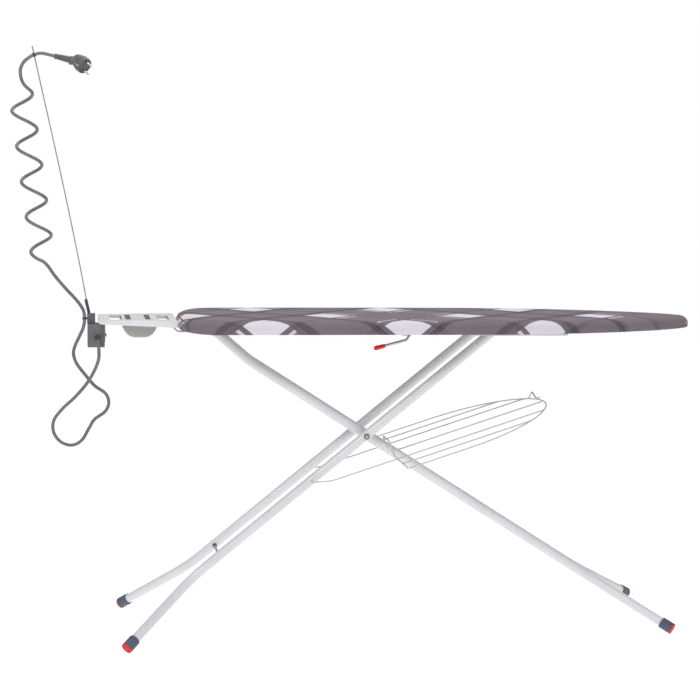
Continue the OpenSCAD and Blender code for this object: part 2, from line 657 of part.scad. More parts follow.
clip_wall = 1.6;
clip_l = 6;
cord_hole = cord_d / 2 + 0.6;
low_clip = [-208, -10, 725];
low_clip_dir = unit([0, 17, 38]);
tip_clip = [-318, -6.5, 1311];
tip_clip_dir = unit([28, 1, 14]);
tip_rod = [-317.8, 0, 1311];
rod_dir = unit(rod_tip - sleeve_b);
module cord_clips() color([0.30, 0.30, 0.32]) {
    difference() {
        union() {
            rod(low_clip - low_clip_dir * clip_l / 2, low_clip + low_clip_dir * clip_l / 2, cord_hole + clip_wall);
            box([low_clip.x, low_clip.y - 2, low_clip.z - 2], [foot_x[0], low_clip.y + 6, low_clip.z + 4]);
        }
        rod(low_clip - low_clip_dir * 20, low_clip + low_clip_dir * 20, cord_hole);
    }
    difference() {
        union() {
            rod(tip_clip - tip_clip_dir * clip_l / 2, tip_clip + tip_clip_dir * clip_l / 2, cord_hole + clip_wall);
            rod(tip_rod - rod_dir * clip_l / 2, tip_rod + rod_dir * clip_l / 2, rod_r + clip_wall);
        }
        rod(tip_clip - tip_clip_dir * 20, tip_clip + tip_clip_dir * 20, cord_hole);
        rod(tip_rod - rod_dir * 20, tip_rod + rod_dir * 20, rod_r + fit);
    }
}

// ---- plug ----
plug_a = [-272, 0, 1309.5];
plug_b = [-238, 0, 1302];
plug_c = [-217, 0, 1297];
pin_dir = unit([0.6, -0.62, -0.5]);
pin_side = unit(cross(pin_dir, cross(pin_dir, [0, 0, -1])));
plug_r = 18.5;
module plug() color([0.36, 0.36, 0.38]) {
    along(plug_a, plug_b) cylinder(h = norm(plug_b - plug_a) + 8, r1 = 6, r2 = 8.5);
    along(plug_c - pin_dir * 16, plug_c + pin_dir * 18) {
        cylinder(h = 34, r = plug_r, $fn = 64);
    }
    for (s = [near, far]) rod(plug_c + pin_dir * 17.5 + pin_side * s * 9.5,
        plug_c + pin_dir * 37 + pin_side * s * 9.5, 2.4);
}

translate([-centre_x, 0, 0]) {
    board_panel();
    board_rim_near();
    board_rim_far();
    felt_pad();
    cover();
    hinge_bracket_near();
    hinge_bracket_far();
    hinge_pin();
    guide_rail_near();
    guide_rail_far();
    lever_bracket_near();
    lever_bracket_far();
    bracket_rivets();
    lever_rod();
    lever_grip();
    latch_comb();
    lever_spring();
    inner_leg_near();
    inner_leg_far();
    inner_spreader();
    pivot_bolt();
    pivot_washers();
    pivot_nuts();
    pivot_spacers();
    outer_leg_near();
    outer_leg_far();
    crossbar();
    slide_rollers();
    outer_spreader();
    outer_foot_cap_near();
    outer_foot_cap_far();
    inner_foot_cap_near();
    inner_foot_cap_far();
    outer_foot_pad_near();
    outer_foot_pad_far();
    inner_foot_pad_near();
    inner_foot_pad_far();
    rack_rim_near();
    rack_rim_far();
    rack_saddle();
    rack_wires();
    rack_arm_near();
    rack_arm_far();
    rack_end_loop();
    rest_plate();
    rest_strips();
    rest_pan();
    rest_rail_near();
    rest_rail_far();
    socket_tab();
    socket_screw();
    socket_box();
    earth_clips();
    cord_gland();
    cord_holder_foot();
    cord_holder_sleeve();
    cord_holder_rod();
    cord_clips();
    cord();
    plug();
}
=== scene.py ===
"""Studio model of a folding ironing board with an iron rest, a mains socket and a wire rack."""
import json
import logging
import math
from dataclasses import dataclass
from enum import Enum
from typing import Any, Sequence

import bpy
from mathutils import Matrix, Vector, noise

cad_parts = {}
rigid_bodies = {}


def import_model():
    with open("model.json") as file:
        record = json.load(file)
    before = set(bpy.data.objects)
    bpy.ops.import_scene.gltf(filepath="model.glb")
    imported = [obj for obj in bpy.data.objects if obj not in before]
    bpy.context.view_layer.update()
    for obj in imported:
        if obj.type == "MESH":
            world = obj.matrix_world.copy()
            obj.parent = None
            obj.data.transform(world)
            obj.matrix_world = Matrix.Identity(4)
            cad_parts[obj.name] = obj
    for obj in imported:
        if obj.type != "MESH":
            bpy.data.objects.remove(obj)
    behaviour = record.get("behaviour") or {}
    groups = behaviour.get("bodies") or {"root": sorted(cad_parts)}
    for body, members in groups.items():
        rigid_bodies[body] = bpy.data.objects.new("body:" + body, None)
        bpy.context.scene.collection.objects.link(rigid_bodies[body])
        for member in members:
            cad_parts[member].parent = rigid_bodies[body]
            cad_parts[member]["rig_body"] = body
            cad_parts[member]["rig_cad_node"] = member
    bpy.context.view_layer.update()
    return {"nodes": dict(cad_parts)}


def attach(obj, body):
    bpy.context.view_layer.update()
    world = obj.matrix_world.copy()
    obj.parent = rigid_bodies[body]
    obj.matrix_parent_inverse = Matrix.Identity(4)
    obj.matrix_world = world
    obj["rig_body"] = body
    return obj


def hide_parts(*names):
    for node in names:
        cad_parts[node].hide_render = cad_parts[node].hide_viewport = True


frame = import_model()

log = logging.getLogger("ironing_board")

MM = 0.001
Point = tuple[float, float, float]
Colour = tuple[float, float, float]
UP = Vector((0, 0, 1))

# Workshop places in millimetres: X from the board's heel, Z from the floor.
CENTRE_X = 448.0
BOLT_X, BOLT_Z = 432.0, 459.0
BAR_X, BAR_Z = 730.8, 703.0
OUTER_SLOPE = (BAR_Z - BOLT_Z) / (BAR_X - BOLT_X)


def shop(x: float, y: float, z: float) -> Vector:
    """Turns workshop millimetres, X from the board's heel, into metres in the shared frame.

    Args:
        x: Distance from the heel of the board.
        y: Distance across the board, away from the lever.
        z: Height above the floor.

    Returns:
        The point in the shared frame.
    """
    return Vector(((x - CENTRE_X) * MM, y * MM, z * MM))


class Body(Enum):
    """The rigid bodies that pieces ride on."""

    BOARD = "board"
    LEVER = "lever"
    INNER = "inner_legs"
    OUTER = "outer_legs"
    RACK = "rack"


class Side(Enum):
    """Which long side of the board a piece is on."""

    NEAR = -1
    FAR = 1


# ---------------------------------------------------------------- shader maths


class Signal:
    """A value or colour that comes out of a shader node."""

    def __init__(self, bench: "Bench", socket: bpy.types.NodeSocket) -> None:
        """Keeps the socket and the bench on which its node stands."""
        self.bench = bench
        self.socket = socket

    def math(self, operation: str, *others: "Signal | float") -> "Signal":
        """Adds a Math node.

        Args:
            operation: The Math node's operation.
            others: The values or signals after this one.

        Returns:
            The node's result.
        """
        sockets = dict(enumerate((self, *others)))
        return self.bench.node("ShaderNodeMath", {"operation": operation}, sockets)

    def __add__(self, other: "Signal | float") -> "Signal":
        """Adds another signal or a number."""
        return self.math("ADD", other)

    def __sub__(self, other: "Signal | float") -> "Signal":
        """Takes away another signal or a number."""
        return self.math("SUBTRACT", other)

    def __mul__(self, other: "Signal | float") -> "Signal":
        """Multiplies by another signal or a number."""
        return self.math("MULTIPLY", other)

    def __truediv__(self, other: "Signal | float") -> "Signal":
        """Divides by another signal or a number."""
        return self.math("DIVIDE", other)

    def __rsub__(self, other: float) -> "Signal":
        """Takes this signal away from a number."""
        return self.bench.node("ShaderNodeMath", {"operation": "SUBTRACT"}, {0: other, 1: self})

    __radd__ = __add__
    __rmul__ = __mul__

    def absolute(self) -> "Signal":
        """Gives the size without its sign."""
        return self.math("ABSOLUTE")

    def at_least(self, floor: "Signal | float") -> "Signal":
        """Gives the larger of the two."""
        return self.math("MAXIMUM", floor)

    def ramp(self, low: float, high: float, start: float = 0.0, end: float = 1.0) -> "Signal":
        """Maps a stretch smoothly on to another.

        Args:
            low: The value that becomes start.
            high: The value that becomes end.
            start: The result at low.
            end: The result at high.

        Returns:
            The mapped value, held at its ends.
        """
        sockets = {0: self, 1: low, 2: high, 3: start, 4: end}
        return self.bench.node("ShaderNodeMapRange", {"interpolation_type": "SMOOTHSTEP"}, sockets)


class Bench:
    """One material under construction."""

    def __init__(self, name: str) -> None:
        """Starts an empty node material of that name."""
        self.material = bpy.data.materials.new(name)
        self.material.use_nodes = True
        self.tree = self.material.node_tree
        self.tree.nodes.clear()
        self.output = self.tree.nodes.new("ShaderNodeOutputMaterial")

    def node(self, kind: str, settings: dict[str, Any] | None = None,
             sockets: dict[int | str, Any] | None = None, out: int | str = 0) -> Signal:
        """Adds a node.

        Args:
            kind: The node's type.
            settings: Its settings, which are set first.
            sockets: Values or signals for its inputs, by name or place.
            out: The output wanted.

        Returns:
            The signal at that output.
        """
        node = self.tree.nodes.new(kind)
        for key, value in (settings or {}).items():
            setattr(node, key, value)
        for key, value in (sockets or {}).items():
            if isinstance(value, Signal):
                self.tree.links.new(value.socket, node.inputs[key])
            else:
                node.inputs[key].default_value = value
        return Signal(self, node.outputs[out])

    def place(self) -> Signal:
        """Gives the Object coordinates."""
        return self.node("ShaderNodeTexCoord", out="Object")

    def across_and_along(self, vector: Signal) -> tuple[Signal, Signal]:
        """Splits coordinates and gives X and Y."""
        x = self.node("ShaderNodeSeparateXYZ", {}, {0: vector})
        return x, Signal(self, x.socket.node.outputs["Y"])

    def noise(self, scale: float, detail: float = 2.0, stretch: Point = (1, 1, 1),
              vector: Signal | None = None) -> Signal:
        """Adds a noise pattern.

        Args:
            scale: How fine it is.
            detail: How many finer layers it holds.
            stretch: Scale along each axis.
            vector: Coordinates, or None for Object coordinates.

        Returns:
            A value about 0.5.
        """
        base = vector or self.place()
        spread = self.node("ShaderNodeMapping", {}, {"Vector": base, "Scale": stretch})
        return self.node("ShaderNodeTexNoise", {}, {"Vector": spread, "Scale": scale, "Detail": detail})

    def mix(self, share: Signal | float, a: Any, b: Any) -> Signal:
        """Mixes two colours.

        Args:
            share: How much of b.
            a: A colour or a signal.
            b: A colour or a signal.

        Returns:
            The mixed colour.
        """
        node = self.tree.nodes.new("ShaderNodeMix")
        node.data_type = "RGBA"
        for socket, value in zip((node.inputs[0], node.inputs[6], node.inputs[7]), (share, a, b)):
            if isinstance(value, Signal):
                self.tree.links.new(value.socket, socket)
            else:
                socket.default_value = value if isinstance(value, float) else (*value, 1.0)
        return Signal(self, node.outputs[2])

    def bump(self, height: Signal, depth: float) -> Signal:
        """Turns a height in 0..1 into a normal, depth metres high."""
        return self.node("ShaderNodeBump", {}, {"Height": height, "Distance": depth, "Strength": 1.0})

    def finish(self, colour: Any, rough: Any, metal: float = 0.0, normal: Signal | None = None,
               **constants: Any) -> bpy.types.Material:
        """Closes the material with its surface shader.

        Args:
            colour: Base colour, a triple or a signal.
            rough: Roughness, a number or a signal.
            metal: Metallic share.
            normal: The bumped normal, if any.
            constants: Other shader sockets by name, with _ for a space.

        Returns:
            The finished material.
        """
        sockets: dict[int | str, Any] = {
            "Base Color": colour if isinstance(colour, Signal) else (*colour, 1.0),
            "Roughness": rough,
            "Metallic": metal,
        }
        if normal:
            sockets["Normal"] = normal
        sockets.update({key.replace("_", " "): value for key, value in constants.items()})
        shader = self.node("ShaderNodeBsdfPrincipled", {}, sockets)
        self.tree.links.new(shader.socket, self.output.inputs["Surface"])
        return self.material


@dataclass(frozen=True)
class PowderCoat:
    """Baked powder paint on steel, with a fine orange peel and faint dust."""

    name: str
    colour: Colour
    rough: float = 0.32
    coat: float = 0.25
    peel: float = 0.00004

    def make(self) -> bpy.types.Material:
        """Builds the material."""
        b = Bench(self.name)
        cloud = b.noise(9.0, 3.0)
        peel = b.noise(900.0, 2.0)
        dark = tuple(c * 0.93 for c in self.colour)
        colour = b.mix(cloud.ramp(0.35, 0.7), self.colour, dark)
        rough = self.rough + (cloud - 0.5) * 0.12
        return b.finish(colour, rough, normal=b.bump(peel, self.peel), Coat_Weight=self.coat,
                        Coat_Roughness=0.12)


@dataclass(frozen=True)
class BareMetal:
    """Plated or brushed metal, with drawing lines along one axis."""

    name: str
    colour: Colour
    rough: float = 0.25
    lines: Point = (1, 60, 60)
    uneven: float = 0.12

    def make(self) -> bpy.types.Material:
        """Builds the material."""
        b = Bench(self.name)
        grain = b.noise(40.0, 4.0, self.lines)
        patch = b.noise(30.0, 3.0)
        dull = tuple(c * 0.82 for c in self.colour)
        colour = b.mix(patch.ramp(0.35, 0.75), self.colour, dull)
        rough = self.rough + (grain - 0.5) * self.uneven + (patch - 0.5) * self.uneven
        return b.finish(colour, rough, 1.0, b.bump(grain, 0.00002))


@dataclass(frozen=True)
class Moulded:
    """Moulded plastic or rubber, with a fine spark grain."""

    name: str
    colour: Colour
    rough: float = 0.5
    grain: float = 0.00005
    grain_scale: float = 1400.0
    specular: float = 0.4

    def make(self) -> bpy.types.Material:
        """Builds the material."""
        b = Bench(self.name)
        grain = b.noise(self.grain_scale, 3.0)
        cloud = b.noise(25.0, 3.0)
        shade = tuple(c * 0.84 for c in self.colour)
        light = tuple(min(1.0, c * 1.06 + 0.004) for c in self.colour)
        colour = b.mix(cloud.ramp(0.3, 0.72), light, shade)
        rough = self.rough + (grain - 0.5) * 0.16 + (cloud - 0.5) * 0.1
        return b.finish(colour, rough, normal=b.bump(grain, self.grain), Specular_IOR_Level=self.specular)


@dataclass(frozen=True)
class Felt:
    """Needled felt, matt and hairy."""

    name: str
    colour: Colour

    def make(self) -> bpy.types.Material:
        """Builds the material."""
        b = Bench(self.name)
        hairs = b.noise(700.0, 6.0, (1, 4, 1))
        tone = b.noise(60.0, 4.0)
        colour = b.mix(tone.ramp(0.3, 0.7), self.colour, tuple(c * 0.8 for c in self.colour))
        return b.finish(colour, 0.95, normal=b.bump(hairs, 0.0006), Sheen_Weight=0.3)


@dataclass(frozen=True)
class VentedSheet:
    """Painted sheet steel pressed with rows of steam holes, drawn as near-black discs of painted shade
    inside a bumped lip.
    """

    name: str
    colour: Colour
    pitch: float = 0.018
    hole: float = 0.0042

    def make(self) -> bpy.types.Material:
        """Builds the material."""
        b = Bench(self.name)
        x, y = b.across_and_along(b.place())
        row_gap = self.pitch * math.sin(math.radians(60))
        row = (y / row_gap).math("ROUND")
        dy = (y - row * row_gap).absolute()
        shift = row.math("PINGPONG", 1.0) * (self.pitch * 0.5)
        along = x - shift
        dx = (along - (along / self.pitch).math("ROUND") * self.pitch).absolute()
        away = (dx * dx + dy * dy).math("SQRT")
        hole = away.ramp(self.hole - 0.0002, self.hole + 0.0002, 1.0, 0.0)
        lip = away.ramp(self.hole, self.hole + 0.0018)
        peel = b.noise(600.0, 2.0)
        # The holes are not cut: each is a near-black disc of painted shade, standing in for the shadow seen
        # through the opening.
        colour = b.mix(hole, self.colour, (0.03, 0.03, 0.03))
        height = lip + peel * 0.06
        return b.finish(colour, 0.4 + hole * 0.5, normal=b.bump(height, 0.0006))


@dataclass(frozen=True)
class BiasCheck:
    """Printed check cloth cut on the bias, laid out on the cloth's own flat coordinates."""

    name: str
    ground: Colour = (0.180, 0.147, 0.166)
    pale: Colour = (0.68, 0.64, 0.70)
    repeat: float = 0.450
    origin_u: float = 0.2708
    origin_v: float = -0.012
    pale_half: float = 0.037
    shade_half: float = 0.053
    thread_rate: float = 5200.0

    def band(self, across: Signal, centre: float, half: float, soft: float = 0.0009) -> Signal:
        """Draws one stripe of the repeat.

        Args:
            across: Distance across the stripes, in metres.
            centre: The stripe's middle.
            half: Half its width.
            soft: Half the blur of its edge.

        Returns:
            1 on the stripe and 0 off it.
        """
        turn = ((across - centre) / self.repeat).math("WRAP", 0.5, -0.5) * self.repeat
        return turn.absolute().ramp(half - soft, half + soft, 1.0, 0.0)

    def stripes(self, across: Signal, pins: Sequence[tuple[float, float]],
                darks: Sequence[tuple[float, float]]) -> tuple[Signal, Signal]:
        """Draws the warp or the weft.

        Args:
            across: Distance across the stripes, in metres.
            pins: Centre and half width of each pin stripe.
            darks: Centre and half width of each dark stripe.

        Returns:
            The brightness where the other way is bright too, and the tone elsewhere.
        """
        second = self.repeat / 2
        wide, edge = (self.band(across, 0.0, half, soft) + self.band(across, second, half, soft)
                      for half, soft in ((self.pale_half, 0.0009), (self.shade_half, 0.002)))
        bright = wide
        for centre, half in pins:
            bright = bright.at_least(self.band(across, centre, half) * 0.82)
        tone = 1.0 + wide * 0.26 - edge * 0.17
        for centre, half in darks:
            tone = tone - self.band(across, centre, half) * 0.40
            bright = bright - self.band(across, centre, half) * 0.9
        return bright.at_least(0.0), tone

    def make(self) -> bpy.types.Material:
        """Builds the material."""
        b = Bench(self.name)
        flat = b.node("ShaderNodeUVMap", {"uv_map": "flat_cloth"})
        x, y = b.across_and_along(flat)
        warp = (x + y) * math.sqrt(0.5) - self.origin_u
        weft = (x - y) * math.sqrt(0.5) - self.origin_v
        threads_at = b.node("ShaderNodeCombineXYZ", {}, {0: warp, 1: weft})
        slub_u = b.noise(1.0, 2.0, (30, 900, 1), threads_at)
        slub_v = b.noise(1.0, 2.0, (900, 30, 1), threads_at)
        wander = (b.noise(18.0, 2.0, vector=flat) - 0.5) * 0.004
        bright_u, tone_u = self.stripes(warp + wander, ((0.055, 0.0042), (0.166, 0.0028)),
                                        ((0.388, 0.0085), (0.281, 0.0070)))
        bright_v, tone_v = self.stripes(weft + wander, ((0.396, 0.0042), (0.285, 0.0028)),
                                        ((0.060, 0.0085), (0.169, 0.0075)))
        worn = b.noise(7.0, 4.0, vector=flat)
        cloth = 0.86 + slub_u * 0.14 + slub_v * 0.14
        tone = tone_u * tone_v * cloth * (0.9 + worn * 0.2)
        grey = b.node("ShaderNodeVectorMath", {"operation": "SCALE"}, {0: self.ground, "Scale": tone})
        light = b.node("ShaderNodeVectorMath", {"operation": "SCALE"}, {0: self.pale, "Scale": cloth})
        colour = b.mix(bright_u * bright_v, grey, light)
        threads = ((warp * self.thread_rate).math("SINE") + (weft * self.thread_rate).math("SINE")) * 0.5
        stitch = b.node("ShaderNodeAttribute", {"attribute_name": "seam_line"}, out="Fac")
        dark = b.mix(stitch * 0.75, colour, (0.10, 0.08, 0.09))
        crumple = b.noise(55.0, 3.0, vector=flat)
        height = threads * 0.12 + slub_u * 0.25 + slub_v * 0.25 + crumple * 0.9 - stitch * 0.6
        return b.finish(dark, 0.86 + (slub_u - 0.5) * 0.1, normal=b.bump(height, 0.0009),
                        Sheen_Weight=0.08, Sheen_Roughness=0.45, Specular_IOR_Level=0.18)


@dataclass(frozen=True)
class CordSheath:
    """Smooth mains-cord sheath, faintly mottled from handling."""

    name: str
    colour: Colour

    def make(self) -> bpy.types.Material:
        """Builds the material."""
        b = Bench(self.name)
        mottle = b.noise(45.0, 4.0)
        skin = b.noise(1500.0, 2.0)
        colour = b.mix(mottle.ramp(0.3, 0.7), self.colour, tuple(c * 0.8 for c in self.colour))
        return b.finish(colour, 0.42 + (mottle - 0.5) * 0.2, normal=b.bump(skin, 0.00004),
                        Specular_IOR_Level=0.45)


class Finish(Enum):
    """The finishes, one for each material slot of the record."""

    COVER = ("cover_cloth", BiasCheck("cover_cloth"))
    FELT = ("felt", Felt("felt", (0.62, 0.60, 0.55)))
    PANEL = ("panel_steel", VentedSheet("panel_steel", (0.50, 0.50, 0.49)))
    ZINC = ("zinc_steel", BareMetal("zinc_steel", (0.50, 0.50, 0.50), 0.38))
    BRIGHT = ("bright_steel", BareMetal("bright_steel", (0.52, 0.52, 0.54), 0.18, (1, 30, 30), 0.06))
    ROD = ("bright_steel", BareMetal("rod_steel", (0.36, 0.34, 0.36), 0.45))
    LEG = ("leg_paint", PowderCoat("leg_paint", (0.71, 0.71, 0.73), 0.34, 0.25))
    FASTENER = ("dark_fastener", BareMetal("dark_fastener", (0.23, 0.17, 0.14), 0.42))
    NYLON = ("white_plastic", Moulded("white_plastic", (0.74, 0.74, 0.72), 0.5))
    FOOT_GREY = ("foot_grey", Moulded("foot_grey", (0.085, 0.108, 0.16), 0.55, 0.00009, 900.0))
    FOOT_RED = ("foot_red", Moulded("foot_red", (0.70, 0.012, 0.016), 0.5, 0.00006, 1000.0))
    GRIP = ("grip_red", Moulded("grip_red", (0.74, 0.012, 0.014), 0.22, 0.00003, 500.0, 0.5))
    WIRE = ("wire_white", PowderCoat("wire_white", (0.56, 0.555, 0.56), 0.4, 0.1, 0.00003))
    REST = ("rest_paint", PowderCoat("rest_paint", (0.70, 0.69, 0.70), 0.42, 0.12))
    STRIP = ("strip_rubber", Moulded("strip_rubber", (0.11, 0.11, 0.12), 0.7, 0.00012, 800.0))
    PAN = ("pan_paint", PowderCoat("pan_paint", (0.36, 0.35, 0.335), 0.4, 0.1))
    BOX = ("box_plastic", Moulded("box_plastic", (0.125, 0.125, 0.138), 0.5, 0.0001, 1100.0))
    BRASS = ("clip_brass", BareMetal("clip_brass", (0.62, 0.46, 0.20), 0.3))
    SLEEVE = ("sleeve_rubber", Moulded("sleeve_rubber", (0.055, 0.055, 0.06), 0.6, 0.00008, 900.0))
    CORD = ("cord_rubber", CordSheath("cord_rubber", (0.155, 0.155, 0.172)))
    PIPING = ("cover_cloth", Moulded("cover_piping", (0.17, 0.105, 0.10), 0.8, 0.00012, 1200.0, 0.2))
    PLUG = ("plug_rubber", Moulded("plug_rubber", (0.105, 0.105, 0.115), 0.45, 0.00008, 1000.0))

    @property
    def slot(self) -> str:
        """The record's slot."""
        return self.value[0]


class Paintshop:
    """Makes each finish once and puts it on pieces."""

    def __init__(self) -> None:
        """Starts with nothing made."""
        self.made: dict[Finish, bpy.types.Material] = {}

    def material(self, finish: Finish) -> bpy.types.Material:
        """Gives a finish's material, made when first asked for."""
        if finish not in self.made:
            self.made[finish] = finish.value[1].make()
        return self.made[finish]

    def dress(self, piece: bpy.types.Object, finish: Finish) -> None:
        """Puts one finish all over a piece.

        Args:
            piece: The piece.
            finish: Its finish.
        """
        piece.data.materials.clear()
        piece.data.materials.append(self.material(finish))
        "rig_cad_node" not in piece


# ---------------------------------------------------------------- workshop tools


def lone(piece: bpy.types.Object) -> None:
    """Makes one piece the only selected and the active one."""
    bpy.ops.object.select_all(action="DESELECT")
    piece.select_set(True)
    bpy.context.view_layer.objects.active = piece


def settle(piece: bpy.types.Object, name: str) -> bpy.types.Object:
    """Names a piece and puts its place into its mesh.

    Args:
        piece: The piece as modelled.
        name: Its name.

    Returns:
        The same piece, at the origin, unturned and unscaled.
    """
    lone(piece)
    bpy.ops.object.transform_apply(location=True, rotation=True, scale=True)
    piece.name = name
    piece.data.name = name
    return piece


def with_modifier(piece: bpy.types.Object, kind: str, **settings: Any) -> None:
    """Adds a modifier to a piece and applies it.

    Args:
        piece: The piece.
        kind: The modifier's type.
        settings: The modifier's settings.
    """
    lone(piece)
    modifier = piece.modifiers.new(kind.title(), kind)
    for key, value in settings.items():
        setattr(modifier, key, value)
    bpy.ops.object.modifier_apply(modifier=modifier.name)


def smooth(piece: bpy.types.Object, angle: float = 38.0) -> None:
    """Shades a piece smooth, with creases where it turns more than angle degrees."""
    lone(piece)
    bpy.ops.object.shade_smooth_by_angle(angle=math.radians(angle))


def clean(piece: bpy.types.Object, reach: float = 0.00001) -> None:
    """Merges a new piece's doubles and turns its faces outwards."""
    lone(piece)
    bpy.ops.object.mode_set(mode="EDIT")
    bpy.ops.mesh.select_all(action="SELECT")
    bpy.ops.mesh.remove_doubles(threshold=reach)
    bpy.ops.mesh.normals_make_consistent(inside=False)
    bpy.ops.object.mode_set(mode="OBJECT")


def turned_to(direction: Vector, hint: Vector = UP) -> Matrix:
    """Gives the turn that lays +Z along a direction.

    Args:
        direction: Where +Z goes.
        hint: Roughly where +X goes.

    Returns:
        A 4 by 4 rotation.
    """
    z = direction.normalized()
    side = hint - z * hint.dot(z)
    if side.length < 0.1:
        side = Vector((1, 0, 0)) - z * z.x
    x = side.normalized()
    return Matrix((x, z.cross(x), z)).transposed().to_4x4()


def lathe(name: str, base: Vector, axis: Vector, profile: Sequence[tuple[float, float]],
          sides: int = 40) -> bpy.types.Object:
    """Turns a closed round piece: a disc is extruded and resized step by step.

    Args:
        name: The piece's name.
        base: Where its axis starts.
        axis: The way the axis points.
        profile: Distance along the axis and radius of each step, in millimetres.
        sides: Facets round the piece.

    Returns:
        The piece.
    """
    bpy.ops.object.select_all(action="DESELECT")
    first_z, first_r = profile[0]
    bpy.ops.mesh.primitive_circle_add(vertices=sides, radius=first_r * MM, fill_type="NGON",
                                      location=(0, 0, first_z * MM))
    piece = bpy.context.object
    bpy.ops.object.transform_apply(location=True)
    bpy.ops.object.mode_set(mode="EDIT")
    bpy.ops.mesh.select_all(action="SELECT")
    z, r = first_z, first_r
    for next_z, next_r in profile[1:]:
        rise = (0, 0, (next_z - z) * MM)
        bpy.ops.mesh.extrude_region_move(TRANSFORM_OT_translate={"value": rise})
        bpy.ops.transform.resize(value=(next_r / r, next_r / r, 1), center_override=(0, 0, next_z * MM))
        z, r = next_z, next_r
    bpy.ops.object.mode_set(mode="OBJECT")
    clean(piece)
    piece.matrix_world = Matrix.Translation(base) @ turned_to(axis)
    settle(piece, name)
    smooth(piece)
    return piece


def softened(node: str, name: str, width: float, segments: int = 2, angle: float = 38.0) -> bpy.types.Object:
    """Copies a CAD node, merges its faces and breaks its sharp edges.

    Args:
        node: The CAD node.
        name: The new piece's name.
        width: Width of the broken edge in millimetres.
        segments: Steps across the broken edge.
        angle: Edges that turn more than this are creases.

    Returns:
        The new piece, which stands for the node.
    """
    piece = frame["nodes"][node].copy()
    piece.data = frame["nodes"][node].data.copy()
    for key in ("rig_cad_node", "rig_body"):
        del piece[key]
    piece.parent = None
    bpy.context.scene.collection.objects.link(piece)
    lone(piece)
    bpy.ops.mesh.customdata_custom_splitnormals_clear()
    bpy.ops.object.mode_set(mode="EDIT")
    bpy.ops.mesh.select_all(action="SELECT")
    bpy.ops.mesh.remove_doubles(threshold=0.000004)
    bpy.ops.mesh.dissolve_limited(angle_limit=math.radians(0.4))
    bpy.ops.object.mode_set(mode="OBJECT")
    with_modifier(piece, "BEVEL", width=width * MM, segments=segments, limit_method="ANGLE",
                  angle_limit=math.radians(angle), use_clamp_overlap=True)
    settle(piece, name)
    smooth(piece, angle)
    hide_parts(node)
    return piece


def filleted(points: Sequence[Vector], bend: float, steps: int = 7) -> list[Vector]:
    """Rounds the corners of a line.

    Args:
        points: The corners.
        bend: Radius of the bends, in metres.
        steps: Points on each bend.

    Returns:
        The rounded line.
    """
    line = [points[0].copy()]
    for before, corner, after in zip(points, points[1:], points[2:]):
        back, ahead = before - corner, after - corner
        opening = back.angle(ahead)
        if opening > math.pi - 0.01:
            line.append(corner.copy())
            continue
        cut = min(bend / math.tan(opening / 2), back.length * 0.48, ahead.length * 0.48)
        a, b = corner + back.normalized() * cut, corner + ahead.normalized() * cut
        for k in range(steps + 1):
            s = k / steps
            line.append(a * (1 - s) ** 2 + corner * (2 * s * (1 - s)) + b * s ** 2)
    line.append(points[-1].copy())
    return line


def wire(name: str, line: Sequence[Vector], radius: float, sides: int = 12, closed: bool = False,
         radii: Sequence[float] | None = None) -> bpy.types.Object:
    """Draws a round wire along a line and makes it a mesh.

    Args:
        name: The piece's name.
        line: The points that it follows.
        radius: Its radius in metres.
        sides: Facets round it.
        closed: Whether it joins up.
        radii: A share of the radius at each point, or None for even.

    Returns:
        The piece.
    """
    curve = bpy.data.curves.new(name, "CURVE")
    curve.dimensions = "3D"
    curve.bevel_depth = radius
    curve.bevel_resolution = max(1, sides // 4 - 1)
    curve.use_fill_caps = not closed
    curve.twist_mode = "MINIMUM"
    spline = curve.splines.new("POLY")
    spline.points.add(len(line) - 1)
    for i, p in enumerate(line):
        spline.points[i].co = (*p, 1.0)
        spline.points[i].radius = radii[i] if radii else 1.0
    spline.use_cyclic_u = closed
    spline.use_smooth = True
    piece = bpy.data.objects.new(name, curve)
    bpy.context.scene.collection.objects.link(piece)
    lone(piece)
    bpy.ops.object.convert(target="MESH")
    piece = bpy.context.object
    clean(piece, 0.000002)
    settle(piece, name)
    smooth(piece, 50)
    return piece


def joined(name: str, pieces: Sequence[bpy.types.Object]) -> bpy.types.Object:
    """Joins pieces into one.

    Args:
        name: The joined piece's name.
        pieces: The pieces, of one finish.

    Returns:
        The joined piece.
    """
    bpy.ops.object.select_all(action="DESELECT")
    for piece in pieces:
        piece.select_set(True)
    bpy.context.view_layer.objects.active = pieces[0]
    bpy.ops.object.join()
    return settle(pieces[0], name)


def block(name: str, low: Vector, high: Vector, bevel: float, segments: int = 3) -> bpy.types.Object:
    """Models a block and rounds its edges.

    Args:
        name: The piece's name.
        low: Its lowest corner.
        high: Its highest corner.
        bevel: Radius of its edges in millimetres.
        segments: Steps across each edge.

    Returns:
        The piece.
    """
    bpy.ops.object.select_all(action="DESELECT")
    bpy.ops.mesh.primitive_cube_add(size=1, location=(low + high) / 2)
    piece = bpy.context.object
    piece.scale = high - low
    settle(piece, name)
    with_modifier(piece, "BEVEL", width=bevel * MM, segments=segments, limit_method="ANGLE",
                  angle_limit=math.radians(25))
    smooth(piece, 40)
    return piece


def flowing(points: Sequence[Vector], step: float) -> list[Vector]:
    """Runs a smooth line through points.

    Args:
        points: The points.
        step: About how far apart the line's own points are, in metres.

    Returns:
        The line.
    """
    line: list[Vector] = []
    last = len(points) - 1
    for i in range(last):
        p0, p1 = points[max(i - 1, 0)], points[i]
        p2, p3 = points[i + 1], points[min(i + 2, last)]
        parts = max(1, round((p2 - p1).length / step))
        for k in range(parts):
            s = k / parts
            a = p1 * 2
            b = (p2 - p0) * s
            c = (p0 * 2 - p1 * 5 + p2 * 4 - p3) * s ** 2
            d = (p1 * 3 - p0 - p2 * 3 + p3) * s ** 3
            line.append((a + b + c + d) * 0.5)
    line.append(points[-1].copy())
    return line


def length_of(line: Sequence[Vector]) -> float:
    """Adds up a line's length."""
    return sum((b - a).length for a, b in zip(line, line[1:]))


